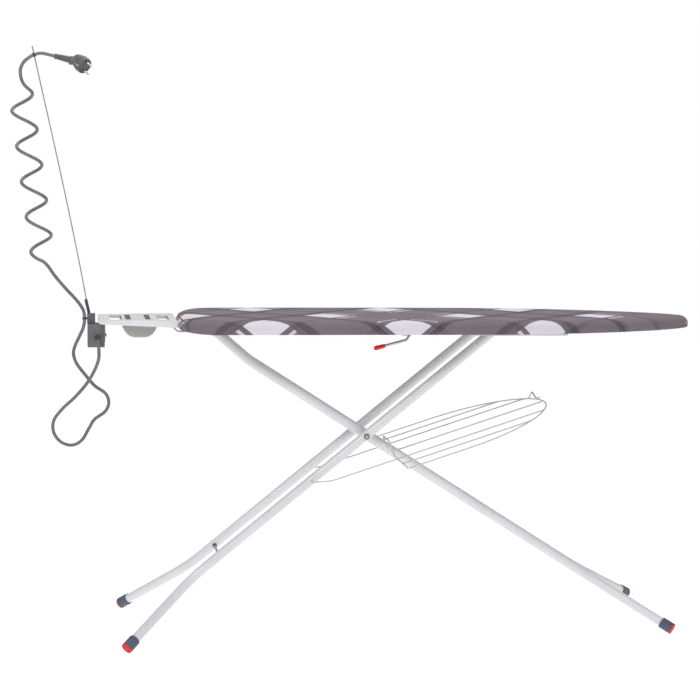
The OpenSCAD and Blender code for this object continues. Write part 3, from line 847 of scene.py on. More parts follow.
class SubAssembly:
    """What every part of the board shares: a paintshop and a way to fit pieces."""

    paint = Paintshop()

    def fit(self, piece: bpy.types.Object, body: Body, finish: Finish,
            stands_for: Sequence[str] = ()) -> None:
        """Fits a finished piece to its body and paints it.

        Args:
            piece: The piece.
            body: The body on which it rides.
            finish: Its finish.
            stands_for: The CAD nodes in whose place it stands.
        """
        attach(piece, body.value)
        if stands_for:
            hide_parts(*stands_for)
        self.paint.dress(piece, finish)
        log.info("%s on %s in %s", piece.name, body.value, finish.slot)

    def soften(self, node: str, name: str, body: Body, finish: Finish,
               width: float, segments: int = 2, angle: float = 38.0) -> None:
        """Fits a copy of a CAD node with its edges broken.

        Args:
            node: The CAD node.
            name: The new piece's name.
            body: The body on which it rides.
            finish: Its finish.
            width: Width of the broken edge in millimetres.
            segments: Steps across it.
            angle: Edges that turn more than this are creases.
        """
        self.fit(softened(node, name, width, segments, angle), body, finish)


# ---------------------------------------------------------------- studio


@dataclass
class Studio:
    """The camera, the lights and the pale floor."""

    eye: Point = (-0.7078, -4.0283, 1.1078)
    yaw: float = 0.1629
    pitch: float = 0.1115
    roll: float = 0.0155
    lens: float = 90.9
    aim: Point = (0, 0, 0.55)
    lamps: Sequence[tuple[str, Point, float, float]] = (
        ("key_lamp", (-1.5, -2.3, 2.9), 1.8, 50.0),
        ("fill_lamp", (2.6, -2.2, 1.7), 1.6, 12.0),
        ("top_lamp", (0.2, 0.9, 3.2), 2.4, 45.0),
    )
    air: Colour = (0.40, 0.405, 0.42)
    backdrop: Colour = (1.0, 1.0, 1.0)
    floor_side: float = 40.0
    floor_drop: float = 0.075

    def place_camera(self) -> None:
        """Stands the camera at its place."""
        ahead = Vector((math.sin(self.yaw) * math.cos(self.pitch),
                        math.cos(self.yaw) * math.cos(self.pitch), -math.sin(self.pitch)))
        right = Vector((math.cos(self.yaw), -math.sin(self.yaw), 0))
        up = right.cross(ahead)
        c, s = math.cos(self.roll), math.sin(self.roll)
        columns = (right * c + up * s, up * c - right * s, -ahead)
        data = bpy.data.cameras.new("studio_camera")
        data.lens, data.sensor_width = self.lens, 36.0
        camera = bpy.data.objects.new("studio_camera", data)
        bpy.context.scene.collection.objects.link(camera)
        camera.matrix_world = Matrix.Translation(self.eye) @ Matrix(columns).transposed().to_4x4()
        bpy.context.scene.camera = camera

    def lamp(self, name: str, at: Point, size: float, power: float) -> None:
        """Hangs a soft square lamp that looks at the board.

        Args:
            name: The lamp's name.
            at: Where it hangs.
            size: Its side in metres.
            power: Its power in watts.
        """
        data = bpy.data.lights.new(name, "AREA")
        data.shape, data.size, data.energy = "SQUARE", size, power
        lamp = bpy.data.objects.new(name, data)
        bpy.context.scene.collection.objects.link(lamp)
        way = Vector(self.aim) - Vector(at)
        lamp.matrix_world = Matrix.Translation(at) @ way.to_track_quat("-Z", "Y").to_matrix().to_4x4()

    def light(self) -> None:
        """Hangs the lamps and fills the air with soft light."""
        scene = bpy.context.scene
        scene.view_settings.view_transform = "Standard"
        world = bpy.data.worlds.new("studio_air")
        world.use_nodes = True
        scene.world = world
        tree = world.node_tree
        rays = tree.nodes.new("ShaderNodeLightPath")
        mixer = tree.nodes.new("ShaderNodeMix")
        mixer.data_type = "RGBA"
        mixer.inputs[6].default_value = (*self.air, 1)
        mixer.inputs[7].default_value = (*self.backdrop, 1)
        tree.links.new(rays.outputs["Is Camera Ray"], mixer.inputs[0])
        tree.links.new(mixer.outputs[2], tree.nodes["Background"].inputs["Color"])
        for name, at, size, power in self.lamps:
            self.lamp(name, at, size, power)

    def lay_floor(self) -> None:
        """Lays the floor, low enough for the feet when the legs open wider."""
        bpy.ops.object.select_all(action="DESELECT")
        bpy.ops.mesh.primitive_plane_add(size=self.floor_side, location=(0, 0, -self.floor_drop))
        floor = bpy.context.object
        floor.name = "studio_floor"
        bench = Bench("studio_floor")
        grain = bench.noise(300.0, 2.0)
        tint = bench.mix(grain, (0.48, 0.48, 0.48), (0.50, 0.50, 0.50))
        glow = bench.mix(grain, (1.0, 1.0, 1.0), (0.99, 0.99, 0.99))
        floor.data.materials.append(bench.finish(tint, 0.9, Emission_Color=glow, Emission_Strength=0.80,
                                                 Specular_IOR_Level=0.1))


# ---------------------------------------------------------------- mains lead


@dataclass
class MainsLead(SubAssembly):
    """The mains cord on its springy rod, from the socket's gland to its plug."""

    diameter: float = 7.5
    exit: Point = (-179, -35, 683)
    lower: Sequence[Point] = (
        (-179, -35, 683), (-179, -43, 683), (-179, -54, 679.5), (-178, -65, 670), (-177, -71, 656),
        (-178, -70, 638), (-187, -64, 613), (-204, -58, 583), (-230, -53, 552), (-258, -50, 525),
        (-277, -46, 498), (-277, -42, 470), (-261, -38, 448), (-237, -34, 440), (-215, -30, 450),
        (-199, -27, 476), (-186, -26, 497), (-162, -25, 515), (-154, -26, 536), (-162, -28, 557),
        (-186, -32, 575), (-207, -33, 600), (-226, -36, 626), (-233, -36, 648), (-229, -36, 667),
        (-219, -28, 688), (-211, -21, 706), (-208, -10, 725), (-211, -4, 744), (-224, -2, 764),
        (-243, -5, 785), (-262, -12, 807), (-276, -19, 825), (-288, -24, 843),
    )
    upper: Sequence[Point] = (
        (-338, -23, 1243), (-344, -25, 1253), (-347, -24, 1266), (-347, -20, 1279), (-341, -14, 1293),
        (-331, -9, 1303), (-318, -6.5, 1311), (-303, -4, 1315), (-288, 0, 1313.03), (-272, 0, 1309.5),
    )
    spiral_from: Point = (-299, 0, 854)
    spiral_to: Point = (-348, 0, 1236)
    spiral_turns: float = 4.875
    spiral_steps: int = 16
    spiral_radius: float = 25.0
    spiral_start: float = 270.0
    relief_from: Point = (-179, -28, 683)
    relief_reach: float = 22.0
    rod_r: float = 1.4
    bow: float = 4.0
    rod_foot: Point = (-197.5, 0, 736)
    rod_knee: Point = (-205, 0, 768)
    rod_tip: Point = (-322, 0, 1331)
    low_clip: Point = (-208, -10, 725)
    low_clip_way: Point = (0, 17, 38)
    tip_clip: Point = (-318, -6.5, 1311)
    tip_clip_way: Point = (28, 1, 14)
    rod_clip: Point = (-317.8, 0, 1311)
    plug_tail: Point = (-272, 0, 1309.5)
    plug_neck: Point = (-238, 0, 1302)
    plug_heart: Point = (-217, 0, 1297)
    plug_axis: Point = (0.6, -0.62, -0.5)

    def centreline(self) -> list[Vector]:
        """Gives the cord's middle line."""
        start, end = Vector(self.spiral_from), Vector(self.spiral_to)
        steps = round(self.spiral_turns * self.spiral_steps)
        spiral = []
        for i in range(steps + 1):
            angle = math.radians(self.spiral_start) - math.tau * i / self.spiral_steps
            out = Vector((math.cos(angle), math.sin(angle), 0)) * self.spiral_radius
            spiral.append(start.lerp(end, i / steps) + out)
        route = [Vector(p) for p in self.lower] + spiral + [Vector(p) for p in self.upper]
        return flowing([shop(*p) for p in route], 0.0035)

    def build_cord(self, plug: Sequence[bpy.types.Object]) -> None:
        """Args:
            plug: The pieces at its far end; not used.
        """
        line = self.centreline()
        cord = wire("mains_cord", line, self.diameter / 2 * MM, 20)
        self.fit(cord, Body.BOARD, Finish.CORD, ["cord"])
        tuple(shop(*self.exit))
        round(length_of(line), 2)

    def build_relief(self) -> None:
        """Draws the ribbed sleeve that keeps the cord from kinking at the box."""
        reach = self.relief_reach * MM
        gate = shop(*self.exit)
        line = [shop(*self.relief_from)] + [p for p in self.centreline() if (p - gate).length < reach]
        line = flowing(line, 0.0006)
        count = len(line)
        radii = []
        for i in range(count):
            share = i / (count - 1)
            rib = 0.0004 if (i // 3) % 2 else 0.0
            radii.append((0.0070 * (1 - share) + 0.0046 * share - rib) / 0.007)
        relief = wire("cord_relief", line, 0.007, 24, radii=radii)
        smooth(relief, 30)
        self.fit(relief, Body.BOARD, Finish.SLEEVE, ["cord_gland"])

    def build_holder(self) -> None:
        """Builds the rod that carries the cord, its rubber sleeve and its foot."""
        foot, knee, tip = (shop(*p) for p in (self.rod_foot, self.rod_knee, self.rod_tip))
        line = filleted([foot + (foot - knee) * 0.4, knee, tip], 0.02)
        low, high = foot.z, tip.z
        bowed = []
        for p in flowing(line, 0.02):
            share = max(0.0, (p.z - low) / (high - low))
            push = math.sin(math.pi * share ** 0.8) * (1 - share * 0.2)
            bowed.append(p + Vector((self.bow * MM * push, 0, 0)))
        rod = wire("cord_rod", bowed, self.rod_r * MM, 16)
        self.fit(rod, Body.BOARD, Finish.ROD, ["cord_holder_rod"])
        rise = (knee - foot).length * 1000
        turns = [(1.0, 3.3), (1.6, 3.6)]
        for i in range(9):
            z = 3.0 + i * (rise - 7) / 9
            turns += [(z, 3.6), (z + 0.3, 3.25), (z + 1.1, 3.25), (z + 1.4, 3.6)]
        turns += [(rise - 1.2, 3.6), (rise, 2.9), (rise + 0.4, 1.5)]
        sleeve = lathe("rod_sleeve", foot, knee - foot, turns, 28)
        self.fit(sleeve, Body.BOARD, Finish.SLEEVE, ["cord_holder_sleeve"])
        self.soften("cord_holder_foot", "rod_foot", Body.BOARD, Finish.BOX, 2.4, 4)
        rings = []
        for at, way in ((self.low_clip, self.low_clip_way), (self.tip_clip, self.tip_clip_way)):
            rings.append(lathe("ring", shop(*at) - Vector(way).normalized() * 0.0026, Vector(way), [
                (0, 3.5), (0.3, 4.6), (1.2, 5.0), (4.0, 5.0), (4.9, 4.6), (5.2, 3.5)], 32))
        rise = (tip - knee).normalized()
        rings.append(lathe("ring", shop(*self.rod_clip) - rise * 0.0026, rise, [
            (0, 1.6), (0.3, 2.4), (1.0, 2.7), (4.2, 2.7), (4.9, 2.4), (5.2, 1.6)], 24))
        rings.append(block("ring", shop(-206, -10.5, 723.6), shop(-201.5, -4, 727.4), 0.8, 2))
        self.fit(joined("cord_rings", rings), Body.BOARD, Finish.SLEEVE, ["cord_clips"])

    def build_plug(self) -> list[bpy.types.Object]:
        """Builds the angled plug.

        Returns:
            Its pieces.
        """
        tail, neck, heart = (shop(*p) for p in (self.plug_tail, self.plug_neck, self.plug_heart))
        reach = (neck - tail).length * 1000
        ribs: list[tuple[float, float]] = [(-1.2, 4.4), (-0.9, 5.6), (0.0, 6.2)]
        for i in range(7):
            z = 1.5 + i * (reach - 1.5) / 7
            r = 6.2 + 2.0 * i / 7
            pitch = (reach - 1.5) / 7
            ribs += [(z + 0.2, r), (z + pitch * 0.58, r + 0.15), (z + pitch * 0.66, r - 0.9),
                     (z + pitch * 0.94, r - 0.85)]
        ribs += [(reach + 0.4, 8.3), (reach + 6, 9.4), (reach + 15, 11.0)]
        neckpiece = lathe("plug_neck", tail, neck - tail, ribs, 32)
        axis = Vector(self.plug_axis).normalized()
        across = axis.cross(axis.cross(Vector((0, 0, -1)))).normalized()
        head = lathe("plug_head", heart, axis, [
            (-16, 9.6), (-15.6, 11.0), (-14.4, 12.4), (-12.0, 13.8), (-8.0, 15.2), (-2.0, 16.8), (2.0, 17.6),
            (3.4, 18.3), (4.4, 18.5), (5.6, 18.5), (6.0, 17.7), (7.2, 17.7), (7.6, 18.5), (15.8, 18.5),
            (17.2, 18.1), (18.0, 17.0), (18.0, 15.6), (16.6, 15.2), (16.6, 2.0)], 56)
        web = block("plug_web", Vector((-0.012, -0.0095, -0.0060)), Vector((0.012, 0.0095, 0.0060)), 4.0, 4)
        lean = (heart - axis * 0.004) - neck
        web.matrix_world = Matrix.Translation(neck + lean * 0.42) @ turned_to(Vector((0, -1, 0.2)), lean)
        settle(web, "plug_web")
        body = joined("plug_body", [neckpiece, head, web])
        smooth(body, 32)
        self.fit(body, Body.BOARD, Finish.PLUG, ["plug"])
        pins = []
        for sign in (-1, 1):
            foot = heart + axis * 0.0165 + across * (sign * 0.0095)
            pins.append(lathe("pin", foot, axis, [
                (0, 2.4), (8.0, 2.4), (8.2, 2.3), (18.2, 2.3), (19.6, 1.9), (20.4, 1.2), (20.6, 0.4)], 24))
        prongs = joined("plug_pins", pins)
        self.fit(prongs, Body.BOARD, Finish.BRIGHT)
        rise = axis.cross(across).normalized()
        strips = []
        for sign in (-1, 1):
            at = heart + rise * (sign * 0.0180)
            low, high = Vector((-0.0026, -0.0009, -0.0005)), Vector((0.0026, 0.0009, 0.0160))
            strip = block("strip", low, high, 0.5, 2)
            turn = Matrix((across, rise * sign, axis)).transposed().to_4x4()
            if turn.determinant() < 0:
                turn = Matrix((-across, rise * sign, axis)).transposed().to_4x4()
            strip.matrix_world = Matrix.Translation(at) @ turn
            strips.append(settle(strip, "strip"))
        clips = joined("plug_earth_clips", strips)
        self.fit(clips, Body.BOARD, Finish.BRIGHT)
        return [body, prongs, clips]

    def build(self) -> None:
        """Builds the lead with all that carries it."""
        self.build_cord(self.build_plug())
        self.build_relief()
        self.build_holder()


# ---------------------------------------------------------------- board and cover


@dataclass
class Station:
    """One place on the board's outline."""

    point: Vector
    normal: Vector
    share: float


@dataclass
class BoardTop(SubAssembly):
    """The steel panel with its rim, the felt and the check cover."""

    length: float = 1220.0
    width: float = 396.0
    heel: float = 90.0
    taper: float = 700.0
    top: float = 733.0
    side: float = 27.0
    hem: float = 32.0
    felt: float = 8.0
    edge_wide: float = 22.0
    edge_deep: float = 18.0
    slack: float = 1.2
    cloth: float = 1.2
    panel: float = 1.5
    rim_r: float = 5.0
    rim_inset: float = 9.5
    piping_r: float = 1.3
    piping_end: float = 11.0
    spine_from: float = 150.0
    spine_run: float = 850.0
    stations: int = 248
    fan: int = 17

    def half_width(self, x: float) -> float:
        """Gives half the board's width at a distance from its heel."""
        w = self.width / 2
        if x < self.heel:
            return w * max(0.0, 1 - (1 - x / self.heel) ** 2.6) ** (1 / 2.6)
        if x < self.taper:
            return w
        return w * max(0.0, 1 - ((x - self.taper) / (self.length - self.taper)) ** 1.6) ** (1 / 1.7)

    def outline(self) -> list[Station]:
        """Walks round the board from the heel's middle, near side first.

        Returns:
            Evenly spaced stations.
        """
        near = []
        for i in range(601):
            a = math.pi * i / 600
            x = self.length * (1 - math.cos(a)) / 2
            near.append(Vector((x, -self.half_width(x), 0)))
        walk = [0.0]
        for a, b in zip(near, near[1:]):
            walk.append(walk[-1] + (b - a).length)
        half = self.stations // 2
        line, k = [], 0
        for i in range(half + 1):
            goal = walk[-1] * i / half
            while k < len(walk) - 2 and walk[k + 1] < goal:
                k += 1
            t = (goal - walk[k]) / max(walk[k + 1] - walk[k], 1e-9)
            line.append(near[k].lerp(near[k + 1], min(1.0, t)))
        line += [Vector((p.x, -p.y, 0)) for p in reversed(line[1:-1])]
        count = len(line)
        found = []
        for i, p in enumerate(line):
            tangent = Vector((0, 0, 0))
            for reach in (1, 2, 3):
                tangent += line[(i + reach) % count] - line[i - reach]
            normal = Vector((tangent.y, -tangent.x, 0)).normalized()
            found.append(Station(p, normal, min(i, count - i) / half))
        return found

    def spine(self, station: Station) -> Vector:
        """Gives the place on the board's middle line that faces a station."""
        return Vector((self.spine_from + self.spine_run * station.share, 0, 0))

    def profile(self) -> list[tuple[float, float, float]]:
        """Gives the cover's edge as inset, height and distance from the flat top along the cloth."""
        wide, deep, under, low = self.edge_wide, self.edge_deep, 3.0, self.top - self.side
        rows, gone = [], 0.0
        previous = None
        points = []
        for k in range(10):
            a = math.pi / 2 * k / 9
            points.append((wide * (1 - math.sin(a)), self.top - deep * (1 - math.cos(a))))
        for k in range(1, 3):
            points.append((0.0, self.top - deep - (self.side - deep - under) * k / 2))
        for k in range(1, 5):
            a = math.pi / 2 * k / 4
            points.append((under * (1 - math.cos(a)), low + under * (1 - math.sin(a))))
        for k in range(1, 6):
            points.append((under + (self.hem - under) * k / 5, low))
        for inset, z in points:
            if previous:
                gone += math.hypot(inset - previous[0], z - previous[1])
            previous = (inset, z)
            rows.append((inset, z, gone))
        return rows

    def build_cover(self, piping: bpy.types.Object) -> None:
        """Cuts, stretches and hems the cover.

        Args:
            piping: The piping that is sewn to it; not used.
        """
        rows = self.profile()
        verts: list[Vector] = []
        flats: list[tuple[float, float]] = []
        stitched: list[float] = []
        for s in self.outline():
            spine = self.spine(s)
            brink = s.point - s.normal * rows[0][0]
            for k in range(self.fan):
                p = spine.lerp(brink, k / self.fan)
                verts.append(shop(p.x, p.y, self.top))
                flats.append((p.x, -p.y))
                stitched.append(0.0)
            for inset, z, gone in rows:
                low = max(0.0, min(1.0, (self.top - 12 - z) / 14))
                pucker = noise.noise(Vector((s.point.x / 21, s.point.y / 21, z / 60))) * 1.5 * low
                wave = noise.noise(Vector((s.point.x / 90, s.point.y / 90, 4))) * 1.2 * min(1.0, gone / 12)
                p = s.point - s.normal * (inset - min(1.6, pucker + wave))
                verts.append(shop(p.x, p.y, z + (0.35 * pucker if z > self.top - self.side + 2 else 0)))
                flat = brink + s.normal * gone * self.slack
                flats.append((flat.x, -flat.y))
                stitched.append(1.0 if z < self.top - self.side + 0.5 and 19 < inset < 24 else 0.0)
        ring, count = self.fan + len(rows), self.stations
        faces = []
        for i in range(count):
            j = (i + 1) % count
            for k in range(ring - 1):
                faces.append((i * ring + k, i * ring + k + 1, j * ring + k + 1, j * ring + k))
        mesh = bpy.data.meshes.new("check_cover")
        mesh.from_pydata(verts, [], faces)
        layer = mesh.uv_layers.new(name="flat_cloth")
        for loop in mesh.loops:
            x, t = flats[loop.vertex_index]
            layer.data[loop.index].uv = (x * MM, t * MM)
        seam = mesh.attributes.new("seam_line", "FLOAT", "POINT")
        for i, value in enumerate(stitched):
            seam.data[i].value = value
        cover = bpy.data.objects.new("check_cover", mesh)
        bpy.context.scene.collection.objects.link(cover)
        lone(cover)
        bpy.ops.object.mode_set(mode="EDIT")
        bpy.ops.mesh.select_all(action="SELECT")
        bpy.ops.mesh.remove_doubles(threshold=0.00005)
        bpy.ops.object.mode_set(mode="OBJECT")
        self.stretch(cover)
        with_modifier(cover, "SUBSURF", levels=1, render_levels=1)
        with_modifier(cover, "SOLIDIFY", thickness=0.001, offset=-1.0)
        smooth(cover, 60)
        self.fit(cover, Body.BOARD, Finish.COVER, ["cover"])

    def stretch(self, cover: bpy.types.Object, cap: float = 0.0022) -> None:
        """Swells the cover a little over its felt by cloth simulation.

        Args:
            cover: The open sheet.
            cap: The furthest that a point may move.
        """
        rest = [v.co.copy() for v in cover.data.vertices]
        outward = [v.normal.copy() for v in cover.data.vertices]
        held = cover.vertex_groups.new(name="held")
        for v in cover.data.vertices:
            drop = (self.top * MM - v.co.z) / (self.side * MM)
            held.add([v.index], 1.0 if drop > 0.8 else 0.0, "REPLACE")
        lone(cover)
        modifier = cover.modifiers.new("Cloth", "CLOTH")
        cloth = modifier.settings
        cloth.quality = 4
        cloth.mass = 0.3
        cloth.tension_stiffness = cloth.compression_stiffness = 30
        cloth.bending_stiffness = 4
        cloth.vertex_group_mass = "held"
        cloth.use_pressure = True
        cloth.uniform_pressure_force = 0.6
        cloth.effector_weights.gravity = 0
        modifier.collision_settings.use_collision = False
        modifier.point_cache.frame_start, modifier.point_cache.frame_end = 1, 12
        for step in range(1, 13):
            bpy.context.scene.frame_set(step)
        bpy.ops.object.modifier_apply(modifier=modifier.name)
        bpy.context.scene.frame_set(1)
        for v, start, out in zip(cover.data.vertices, rest, outward):
            moved = v.co - start
            moved -= out * min(0.0, moved.dot(out))
            v.co = start + moved * (cap / (cap + moved.length))
        cover.vertex_groups.clear()

    def build_felt(self) -> None:
        """Lays the felt under the cover as a thin pad with soft edges."""
        verts, faces = [], []
        low, high = self.top - self.cloth - self.felt, self.top - self.cloth - 0.05
        rows = [(0.0, low, 0.0), (1.0, low, 5.6)]
        for k in range(6):
            a = math.radians(50 - 10 * k)
            drop = self.edge_deep * (1 - math.cos(a))
            rows.append((1.0, high - drop, 1.5 + self.edge_wide * (1 - math.sin(a))))
        rows.append((0.0, high, 0.0))
        places = self.outline()
        for s in places:
            spine = self.spine(s)
            for share, z, inset in rows:
                p = spine if share == 0 else s.point - s.normal * inset
                verts.append(shop(p.x, p.y, z))
        ring, count = len(rows), len(places)
        for i in range(count):
            j = (i + 1) % count
            for k in range(ring - 1):
                faces.append((i * ring + k, j * ring + k, j * ring + k + 1, i * ring + k + 1))
        mesh = bpy.data.meshes.new("felt_wadding")
        mesh.from_pydata(verts, [], faces)
        felt = bpy.data.objects.new("felt_wadding", mesh)
        bpy.context.scene.collection.objects.link(felt)
        clean(felt, 0.00002)
        smooth(felt, 60)
        self.fit(felt, Body.BOARD, Finish.FELT, ["felt_pad"])

    def build_rim(self) -> None:
        """Bends the steel rim under the panel."""
        z = self.top - self.cloth - self.felt - self.panel - self.rim_r - 0.01
        line = [shop(*(s.point - s.normal * self.rim_inset + UP * z)) for s in self.outline()]
        rim = wire("board_rim", line, self.rim_r * MM, 16, closed=True)
        self.fit(rim, Body.BOARD, Finish.PANEL, ["board_rim_near", "board_rim_far"])

    def build_piping(self) -> bpy.types.Object:
        """Sews the piping round the heel, where the cover's top meets its side.

        Returns:
            The piping.
        """
        line = []
        for s in self.outline():
            if s.point.x < self.piping_end:
                line.append((s.point.y, s.share, s.point - s.normal * 6.2 + UP * (self.top - 5.4)))
        near = sorted((t for t in line if t[0] <= 0), key=lambda t: -t[1])
        far = sorted((t for t in line if t[0] > 0), key=lambda t: t[1])
        run = [shop(*t[2]) for t in near + far]
        line = flowing(run, 0.004)
        ends = [min(1.0, 0.2 + 0.8 * min(i, len(line) - 1 - i) / 8) for i in range(len(line))]
        piping = wire("cover_piping", line, self.piping_r * MM, 12, radii=ends)
        self.fit(piping, Body.BOARD, Finish.PIPING)
        return piping

    def build(self) -> None:
        """Builds the board from the panel up."""
        self.soften("board_panel", "steel_panel", Body.BOARD, Finish.PANEL, 0.4, 1)
        self.build_rim()
        self.build_felt()
        self.build_cover(self.build_piping())


# ---------------------------------------------------------------- underframe


@dataclass
class Underframe(SubAssembly):
    """The brackets and rails riveted under the board, and the height lever."""

    pivot_x: float = 521.0
    pivot_z: float = 699.0
    lever_end_y: float = 52.0
    grip_y: float = -110.0
    grip_top: tuple[float, float] = (465.0, 673.0)
    grip_low: tuple[float, float] = (444.0, 667.5)
    knee_reach: float = 52.0
    lever_r: float = 3.3
    lever_bend: float = 11.0
    coil_r: float = 5.2
    coil_pitch: float = 2.8
    coil_turns: int = 5
    coil_wire_r: float = 0.9

    def build_brackets(self) -> None:
        """Presses the hinge brackets, the rails and the lever's brackets."""
        for side in Side:
            tag = side.name.lower()
            self.soften(f"hinge_bracket_{tag}", f"hinge_plate_{tag}", Body.BOARD, Finish.ZINC, 0.5)
            self.soften(f"guide_rail_{tag}", f"slide_rail_{tag}", Body.BOARD, Finish.ZINC, 0.5)
            self.soften(f"lever_bracket_{tag}", f"lever_plate_{tag}", Body.BOARD, Finish.ZINC, 0.4)
        self.soften("hinge_pin", "leg_hinge_pin", Body.BOARD, Finish.ZINC, 0.9, 3)
        self.soften("bracket_rivets", "rivet_heads", Body.BOARD, Finish.ZINC, 0.7, 3)

    def build_lever(self) -> None:
        """Bends the lever's rod and moulds its red grip."""
        grip_a = shop(self.grip_top[0], self.grip_y, self.grip_top[1])
        grip_b = shop(self.grip_low[0], self.grip_y, self.grip_low[1])
        back = (grip_a - grip_b).normalized()
        line = filleted([shop(self.pivot_x, self.lever_end_y, self.pivot_z),
                         shop(self.pivot_x, self.grip_y, self.pivot_z), grip_a + back * self.knee_reach * MM,
                         grip_b + (grip_a - grip_b) * 0.2], self.lever_bend * MM)
        rod = wire("lever_bar", line, self.lever_r * MM, 20)
        self.fit(rod, Body.LEVER, Finish.BRIGHT, ["lever_rod"])
        span = (grip_a - grip_b).length * 1000
        grip = lathe("lever_handle", grip_b, grip_a - grip_b, [
            (-5.2, 1.0), (-4.8, 2.7), (-3.6, 4.2), (-1.6, 5.1), (1.0, 5.4), (span * 0.5, 4.9),
            (span - 1.6, 4.5), (span - 0.5, 4.2), (span, 3.5)], 36)
        self.fit(grip, Body.LEVER, Finish.GRIP, ["lever_grip"])
        self.soften("latch_comb", "lever_comb", Body.LEVER, Finish.BRIGHT, 0.35)
        start_y, steps = -66, 20
        coil = [shop(self.pivot_x + 16, start_y, self.pivot_z + 12)]
        for i in range(self.coil_turns * steps + 1):
            a = math.tau * i / steps
            coil.append(shop(self.pivot_x + self.coil_r * math.cos(a), start_y + self.coil_pitch * i / steps,
                             self.pivot_z + self.coil_r * math.sin(a)))
        coil.append(shop(self.pivot_x + 18, start_y + self.coil_turns * self.coil_pitch, self.pivot_z + 1))
        spring = wire("lever_coil", coil, self.coil_wire_r * MM, 8)
        self.fit(spring, Body.BOARD, Finish.BRIGHT, ["lever_spring"])

    def build(self) -> None:
        """Builds all that hangs under the board."""
        self.build_brackets()
        self.build_lever()


# ---------------------------------------------------------------- legs


@dataclass
class LegPair(SubAssembly):
    """Two bent tubes with feet, on one rigid body."""

    name: str
    body: Body
    corners: Sequence[Point]
    outer_r: float = 11.0
    wall: float = 1.2
    bend: float = 150.0
    foot_r: float = 13.4

    def path(self, side: Side) -> list[Vector]:
        """Gives the corners of one tube."""
        return [shop(x, side.value * y, z) for x, y, z in self.corners]

    def build_tube(self, side: Side) -> None:
        """Bends one tube and leaves its top open."""
        corners = self.path(side)
        inward = (corners[-2] - corners[-1]).normalized()
        line = filleted(corners[:-1] + [corners[-1] + inward * 0.006], self.bend * MM, 16)
        tube = wire(f"{self.name}_tube_{side.name.lower()}", line, self.outer_r * MM, 40)
        lone(tube)
        bpy.ops.object.mode_set(mode="EDIT")
        bpy.ops.mesh.select_all(action="DESELECT")
        bpy.ops.object.mode_set(mode="OBJECT")
        for face in tube.data.polygons:
            face.select = len(face.vertices) > 4
        bpy.ops.object.mode_set(mode="EDIT")
        bpy.ops.mesh.delete(type="FACE")
        bpy.ops.object.mode_set(mode="OBJECT")
        with_modifier(tube, "SOLIDIFY", thickness=self.wall * MM, offset=-1.0)
        smooth(tube, 40)
        self.fit(tube, self.body, Finish.LEG, [f"{self.name}_leg_{side.name.lower()}"])

    def build_foot(self, side: Side) -> None:
        """Moulds one foot's grey cap and its red pad."""
        corners = self.path(side)
        foot = corners[-1]
        axis = (foot - corners[-2]).normalized()
        tag = side.name.lower()
        cap = lathe(f"{self.name}_cap_{tag}", foot - axis * 0.031, axis, [
            (0.0, 11.2), (0.2, 12.2), (0.9, 12.9), (2.4, 13.2), (4.0, 13.2), (4.4, 12.7), (5.4, 12.7),
            (5.8, 13.2), (22.0, 13.2), (22.3, 12.9), (23.0, 12.9), (23.3, 13.2), (27.4, 13.2), (28.0, 12.8),
            (28.0, 4.0)], 48)
        self.fit(cap, self.body, Finish.FOOT_GREY, [f"{self.name}_foot_cap_{tag}"])
        pad = lathe(f"{self.name}_pad_{tag}", foot - axis * 0.003, axis, [
            (0.0, 12.4), (0.3, 13.2), (0.8, 13.4), (2.4, 13.4), (2.9, 13.1), (3.0, 12.6), (3.0, 10.2),
            (2.6, 9.9), (2.1, 9.7), (2.1, 7.4), (2.6, 7.1), (2.9, 6.6), (2.9, 1.0)], 48)
        self.fit(pad, self.body, Finish.FOOT_RED, [f"{self.name}_foot_pad_{tag}"])

    def build(self) -> None:
        """Builds both tubes with their feet and the rod between them."""
        for side in Side:
            self.build_tube(side)
            self.build_foot(side)
        self.soften(f"{self.name}_spreader", f"{self.name}_stay", self.body, Finish.ZINC, 0.5)


@dataclass
class ScissorBolt(SubAssembly):
    """The bolt where the legs cross, and the bar that slides in the rails."""

    half_span: float = 80.0
    stay_x: float = 95.0
    stay_y: float = 44.6

    def build(self) -> None:
        """Builds the bolt, its nuts, washers and spacers, and the sliding bar."""
        end = self.half_span
        bolt = lathe("scissor_bolt", shop(BOLT_X, -end, BOLT_Z), Vector((0, 1, 0)), [
            (0, 2.0), (0.3, 3.2), (1.0, 3.9), (1.6, 4.0), (2 * end - 1.6, 4.0), (2 * end - 1.0, 3.9),
            (2 * end - 0.3, 3.2), (2 * end, 2.0)], 32)
        self.fit(bolt, Body.INNER, Finish.ZINC, ["pivot_bolt"])
        self.soften("pivot_nuts", "bolt_nuts", Body.INNER, Finish.FASTENER, 0.8, 3, 25)
        self.soften("pivot_washers", "bolt_washers", Body.INNER, Finish.NYLON, 0.4)
        self.soften("pivot_spacers", "bolt_spacers", Body.INNER, Finish.NYLON, 0.6)
        self.soften("crossbar", "sliding_bar", Body.OUTER, Finish.ZINC, 0.8)
        self.soften("slide_rollers", "bar_rollers", Body.OUTER, Finish.NYLON, 0.8, 3)
        stay_z = BOLT_Z + (self.stay_x - BOLT_X) * OUTER_SLOPE
        for side in Side:
            tag = side.name.lower()
            seat = shop(self.stay_x, side.value * self.stay_y, stay_z)
            collar = lathe(f"stay_collar_{tag}", seat, Vector((0, side.value, 0)), [
                (0, 3.4), (0.6, 5.0), (4.0, 5.0), (4.6, 4.4), (5.2, 4.0)], 28)
            self.fit(collar, Body.OUTER, Finish.SLEEVE)


# ---------------------------------------------------------------- laundry rack


